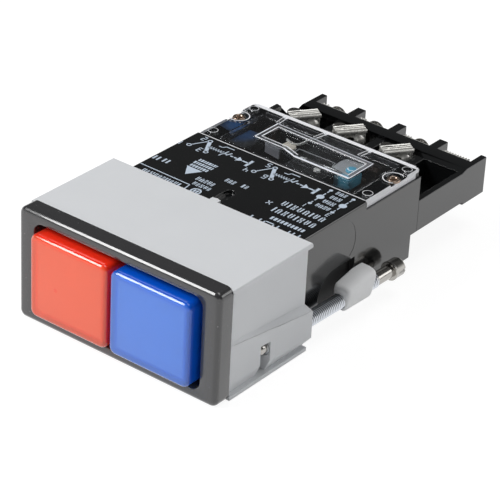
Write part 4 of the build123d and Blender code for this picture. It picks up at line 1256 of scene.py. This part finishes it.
outline = [Vector(p) for p in clawShape["outline"]]
for _ in range(3):
    outline = cornersCut(outline)
middle, waist, soft = Vector(clawShape["middle"]), clawShape["waist"], clawShape["soft"]
start, length = clawShape["front"], clawShape["length"]
steps = clawShape["ends"] + clawShape["between"] + [length - e for e in reversed(clawShape["ends"])]
for side, where in ((-1, "left"), (1, "right")):
    foot, lean = axisOf(side)
    out = Vector((side * lean.y, -side * lean.x, 0))
    loops = []
    for step in steps:
        near = min(step, length - step)
        inset = 0 if near >= soft else soft - (soft ** 2 - (soft - near) ** 2) ** 0.5
        ceiling = clawShape["high"] - clawShape["drop"] * max(0, 1 - step / clawShape["slope"])
        loop = []
        for point in outline:
            away = point - middle
            across, height = middle + away * (1 - inset / away.length)
            if height > waist:
                height = waist + (height - waist) * (ceiling - waist) / (clawShape["high"] - waist)
            loop.append(foot + lean * (start + step) + out * across + Vector((0, 0, height)))
        loops.append(loop)
    work = bmesh.new()
    addSolid(work, *loops)
    claw = addPiece(
        where + "ClawPiece", work, "white_plastic", where + "_claw", (where + "_clamp_claw",),
        smoothBelow=50,
    )
    joinShape(claw, rodMesh(side, clawShape["bore"], start - 1, start + 10))
print("stage: claws made")

# front terminals: ridged clamp plates with a domed screw before them and a round lobe behind
clampShape = {
    "turn": 54.0, "width": 6.5, "shift": 0.35, "thick": 0.75, "valley": 0.3, "ridges": (0.7, 1.4, 2.1),
    "dome": 1.9, "domeDown": 2.9, "domeAlong": 1.3, "lobe": 1.5, "lobeBack": 3.1, "lobeAlong": -1.7,
}
turn = radians(clampShape["turn"])
along = Vector((cos(turn), sin(turn), 0))
backward = Vector((-sin(turn), cos(turn), 0))
upright = (0, 0, 1)
valley, thick = clampShape["valley"], clampShape["thick"]
ridges = [(0.05, -0.75), (0.0, -0.6), (0.0, -0.15), (0.06, -0.04), (0.18, 0.0), (0.7, 0.0)]
for start in clampShape["ridges"]:
    ridges += [(start + 0.1, -valley), (start + 0.25, -valley), (start + 0.38, -0.06), (start + 0.5, 0.0)]
ridges += [(2.85, -0.02), (3.0, -0.12), (3.0, -thick), (0.3, -thick)]
dome = [
    (0, -0.25), (0.5, -0.22), (0.95, -0.1), (1.3, 0.05), (1.6, 0.25),
    (clampShape["dome"], 0.5), (clampShape["dome"], 0.9), (0, 0.9),
]
for number in (1, 2, 3):
    node = f"front_clamp_plate_{number}"
    low, high = edges(node)
    place = middleOf(node) - backward * 1.5 + along * clampShape["shift"]
    top = Vector((place.x, place.y, high.z))
    drop = low.z - high.z
    leg = rectangle(1.15, drop, 0.35, -0.7)
    work = bmesh.new()
    addSweep(work, ridges, top, backward, along, clampShape["width"])
    addSweep(work, leg, top, backward, along, clampShape["width"] - 0.3)
    centre = top - Vector((0, 0, clampShape["domeDown"])) + along * clampShape["domeAlong"]
    lathe(work, dome, centre, backward, 36)
    addPiece(node + "Piece", work, "terminal_metal", "base", (node,), edge=0.05, segments=2, angle=40)
    lobe = place + backward * clampShape["lobeBack"] + along * clampShape["lobeAlong"]
    radius, rise = clampShape["lobe"], high.z
    profile = [
        (0, rise - 1.4), (radius, rise - 1.4), (radius, rise - 0.25),
        (radius - 0.3, rise - 0.05), (0, rise - 0.02),
    ]
    work = bmesh.new()
    lathe(work, profile, (lobe.x, lobe.y, 0), upright, 32)
    addPiece(node + "Lobe", work, "steel")

# rear terminals: narrow ribbed straps and domed screws behind the cross wall
strapShape = {
    "tooth": 0.34, "gap": 0.3, "deep": 0.55, "toothFrom": 0.4, "toothDeep": 1.3, "toothSpan": (0.7, 0.12),
    "screwShift": 0.8, "screwReach": 2.5, "screwRise": 0.25,
    # the screw's radii, and how far each lies before its rear end
    "screw": [(1.2, 1.5), (2.2, 1.5), (2.25, 1.3), (2.2, 0.75), (1.9, 0.4), (1.3, 0.12), (0.6, 0), (0, 0)],
}
crossRear = edges("rear_terminal_plate_1")[0].y
tooth = strapShape["tooth"]
for number in (1, 2, 3, 4):
    node = f"rear_terminal_plate_{number}"
    low, high = edges(node)
    work = bmesh.new()
    plate = rectangle(low.x, crossRear + 0.02, high.x, crossRear + strapShape["deep"])
    addPrism(work, plate, low.z, high.z)
    screwAt = (low.x + high.x) / 2 + strapShape["screwShift"]
    toothLow, toothHigh = (high.z - down for down in strapShape["toothSpan"])
    x = low.x + 0.1
    while x < high.x - tooth:
        if number == 4 or abs(x - screwAt) >= strapShape["screwReach"]:
            front, rear = (crossRear + strapShape[key] for key in ("toothFrom", "toothDeep"))
            addPrism(work, rectangle(x, front, x + tooth, rear), toothLow, toothHigh)
        x += tooth + strapShape["gap"]
    addPiece(node + "Piece", work, "terminal_metal", "base", (node,), edge=0.06, segments=2, angle=40)
    if number < 4:
        node = f"rear_terminal_screw_{number}"
        low, high = edges(node)
        centre = middleOf(node)
        profile = [(0, low.y), (1.2, low.y)]
        profile += [(radius, high.y - before) for radius, before in strapShape["screw"]]
        work = bmesh.new()
        lathe(work, profile, (centre.x, 0, centre.z + strapShape["screwRise"]), (0, 1, 0), 40)
        addPiece(node + "Piece", work, "steel", "base", (node,), smoothBelow=40)
print("stage: terminals made")

# everything else keeps its CAD shape under its own finish
for name, node in nodes.items():
    node.data.materials.clear()
    node.data.materials.append(finishes["dark_brass" if "contact" in name else slotOf[name]])
print("stage: other pieces finished")

# floor: a bright backdrop for what looks at it, and a plain pale floor for the light it bounces
floorLook = {"size": 3.0, "bounce": 0.86, "seenLight": 0.9, "seenBounce": 0.2, "from": 80.0, "to": 250.0}
floorMesh = bpy.data.meshes.new("floor")
reach = floorLook["size"]
corners = [(x, y, frameBounds[0][2]) for x, y in rectangle(-reach, -reach, reach, reach)]
floorMesh.from_pydata(corners, [], [(0, 1, 2, 3)])
floor = show(bpy.data.objects.new("floor", floorMesh))
floorMaterial, tree, shader = newMaterial("floor")
tree.nodes.remove(shader)
rays = addNode(tree, "ShaderNodeLightPath").outputs
seen = highest(tree, *(rays[f"Is {kind} Ray"] for kind in ("Camera", "Glossy", "Transmission")))
bounce, faint = (
    addNode(tree, "ShaderNodeBsdfDiffuse", {"Color": (floorLook[key],) * 3 + (1,)}).outputs[0]
    for key in ("bounce", "seenBounce")
)
strength = fade(
    tree, distanceFrom(tree, (0, 0, 0)), (floorLook["from"], floorLook["to"]), floorLook["seenLight"], 1.0,
)
glow = addNode(tree, "ShaderNodeEmission", {"Strength": strength})
both = addNode(tree, "ShaderNodeAddShader", {0: faint, 1: glow.outputs[0]})
showEither(tree, seen, bounce, both.outputs[0])
floorMesh.materials.append(floorMaterial)

# world: white for the camera, a band of light near the horizon for reflections
worldLook = {"ambient": 0.25, "upper": 0.07, "fadeFrom": 0.02, "fadeTo": 0.3}
world = bpy.data.worlds.new("studio")
bpy.context.scene.world = world
world.use_nodes = True
tree = world.node_tree
rays = addNode(tree, "ShaderNodeLightPath").outputs
way = addNode(tree, "ShaderNodeTexCoord").outputs["Generated"]
height = addNode(tree, "ShaderNodeSeparateXYZ", {0: way}).outputs["Z"]
mirrored = ramp(tree, height, worldLook["fadeFrom"], worldLook["fadeTo"], 1.0, worldLook["upper"])
level = worldLook["ambient"]
for kind, value in (("Glossy", mirrored), ("Transmission", mirrored), ("Camera", 1.0)):
    values = {0: rays[f"Is {kind} Ray"], 2: level, 3: value}
    level = addNode(tree, "ShaderNodeMix", values, data_type="FLOAT").outputs[0]
feed(tree.nodes["Background"], {"Color": (1, 1, 1, 1), "Strength": level})

# each lamp: where it stands, its size and the brightness it gives a white card facing it
lampDistance = 0.8
lamps = {
    "key": {"way": (-0.52, -0.52, 0.68), "up": (0, 0.794, 0.607), "size": (0.2, 0.55), "level": 0.70},
    "overhead": {"way": (0.1, 0.25, 1.0), "size": (0.5, 0.35), "level": 0.22},
    "fill": {"way": (0.8, -0.65, 0.25), "size": (0.4, 0.4), "level": 0.03},
    "rim": {"way": (0.7, 0.62, 0.45), "size": (0.4, 0.3), "level": 0.14},
}
aim = Vector((0, 0.01, 0))
for name, lamp in lamps.items():
    light = bpy.data.lights.new(name, "AREA")
    light.shape = "RECTANGLE"
    light.size, light.size_y = lamp["size"]
    light.energy = lamp["level"] * pi * pi * lampDistance ** 2
    stand = show(bpy.data.objects.new(name, light))
    away = Vector(lamp["way"]).normalized()
    stand.location = aim + away * lampDistance
    tall = Vector(lamp.get("up", upright))
    tall = (tall - away * tall.dot(away)).normalized()
    stand.rotation_euler = Matrix((tall.cross(away), tall, away)).transposed().to_euler()
    stand.visible_camera = False

# camera: its place, and where it looks, with a slight roll
view = {
    "location": (0.24044388, -0.30735604, 0.22638810), "azimuth": 36.875, "elevation": 30.022,
    "roll": 3.051, "lens": 171.24,
}
turn, tilt, roll = (radians(view[key]) for key in ("azimuth", "elevation", "roll"))
level = Vector((cos(turn), sin(turn), 0))
above = Vector((-sin(turn) * sin(tilt), cos(turn) * sin(tilt), cos(tilt)))
back = Vector((sin(turn) * cos(tilt), -cos(turn) * cos(tilt), sin(tilt)))
right = level * cos(roll) + above * sin(roll)
up = above * cos(roll) - level * sin(roll)
lens = bpy.data.cameras.new("camera")
lens.lens = view["lens"]
lens.sensor_width = 36
lens.clip_start = 0.01
camera = show(bpy.data.objects.new("camera", lens))
facing = Matrix((right, up, back)).transposed().to_4x4()
camera.matrix_world = Matrix.Translation(view["location"]) @ facing
bpy.context.scene.camera = camera
bpy.context.scene.view_settings.view_transform = "Standard"
print("stage: studio made")
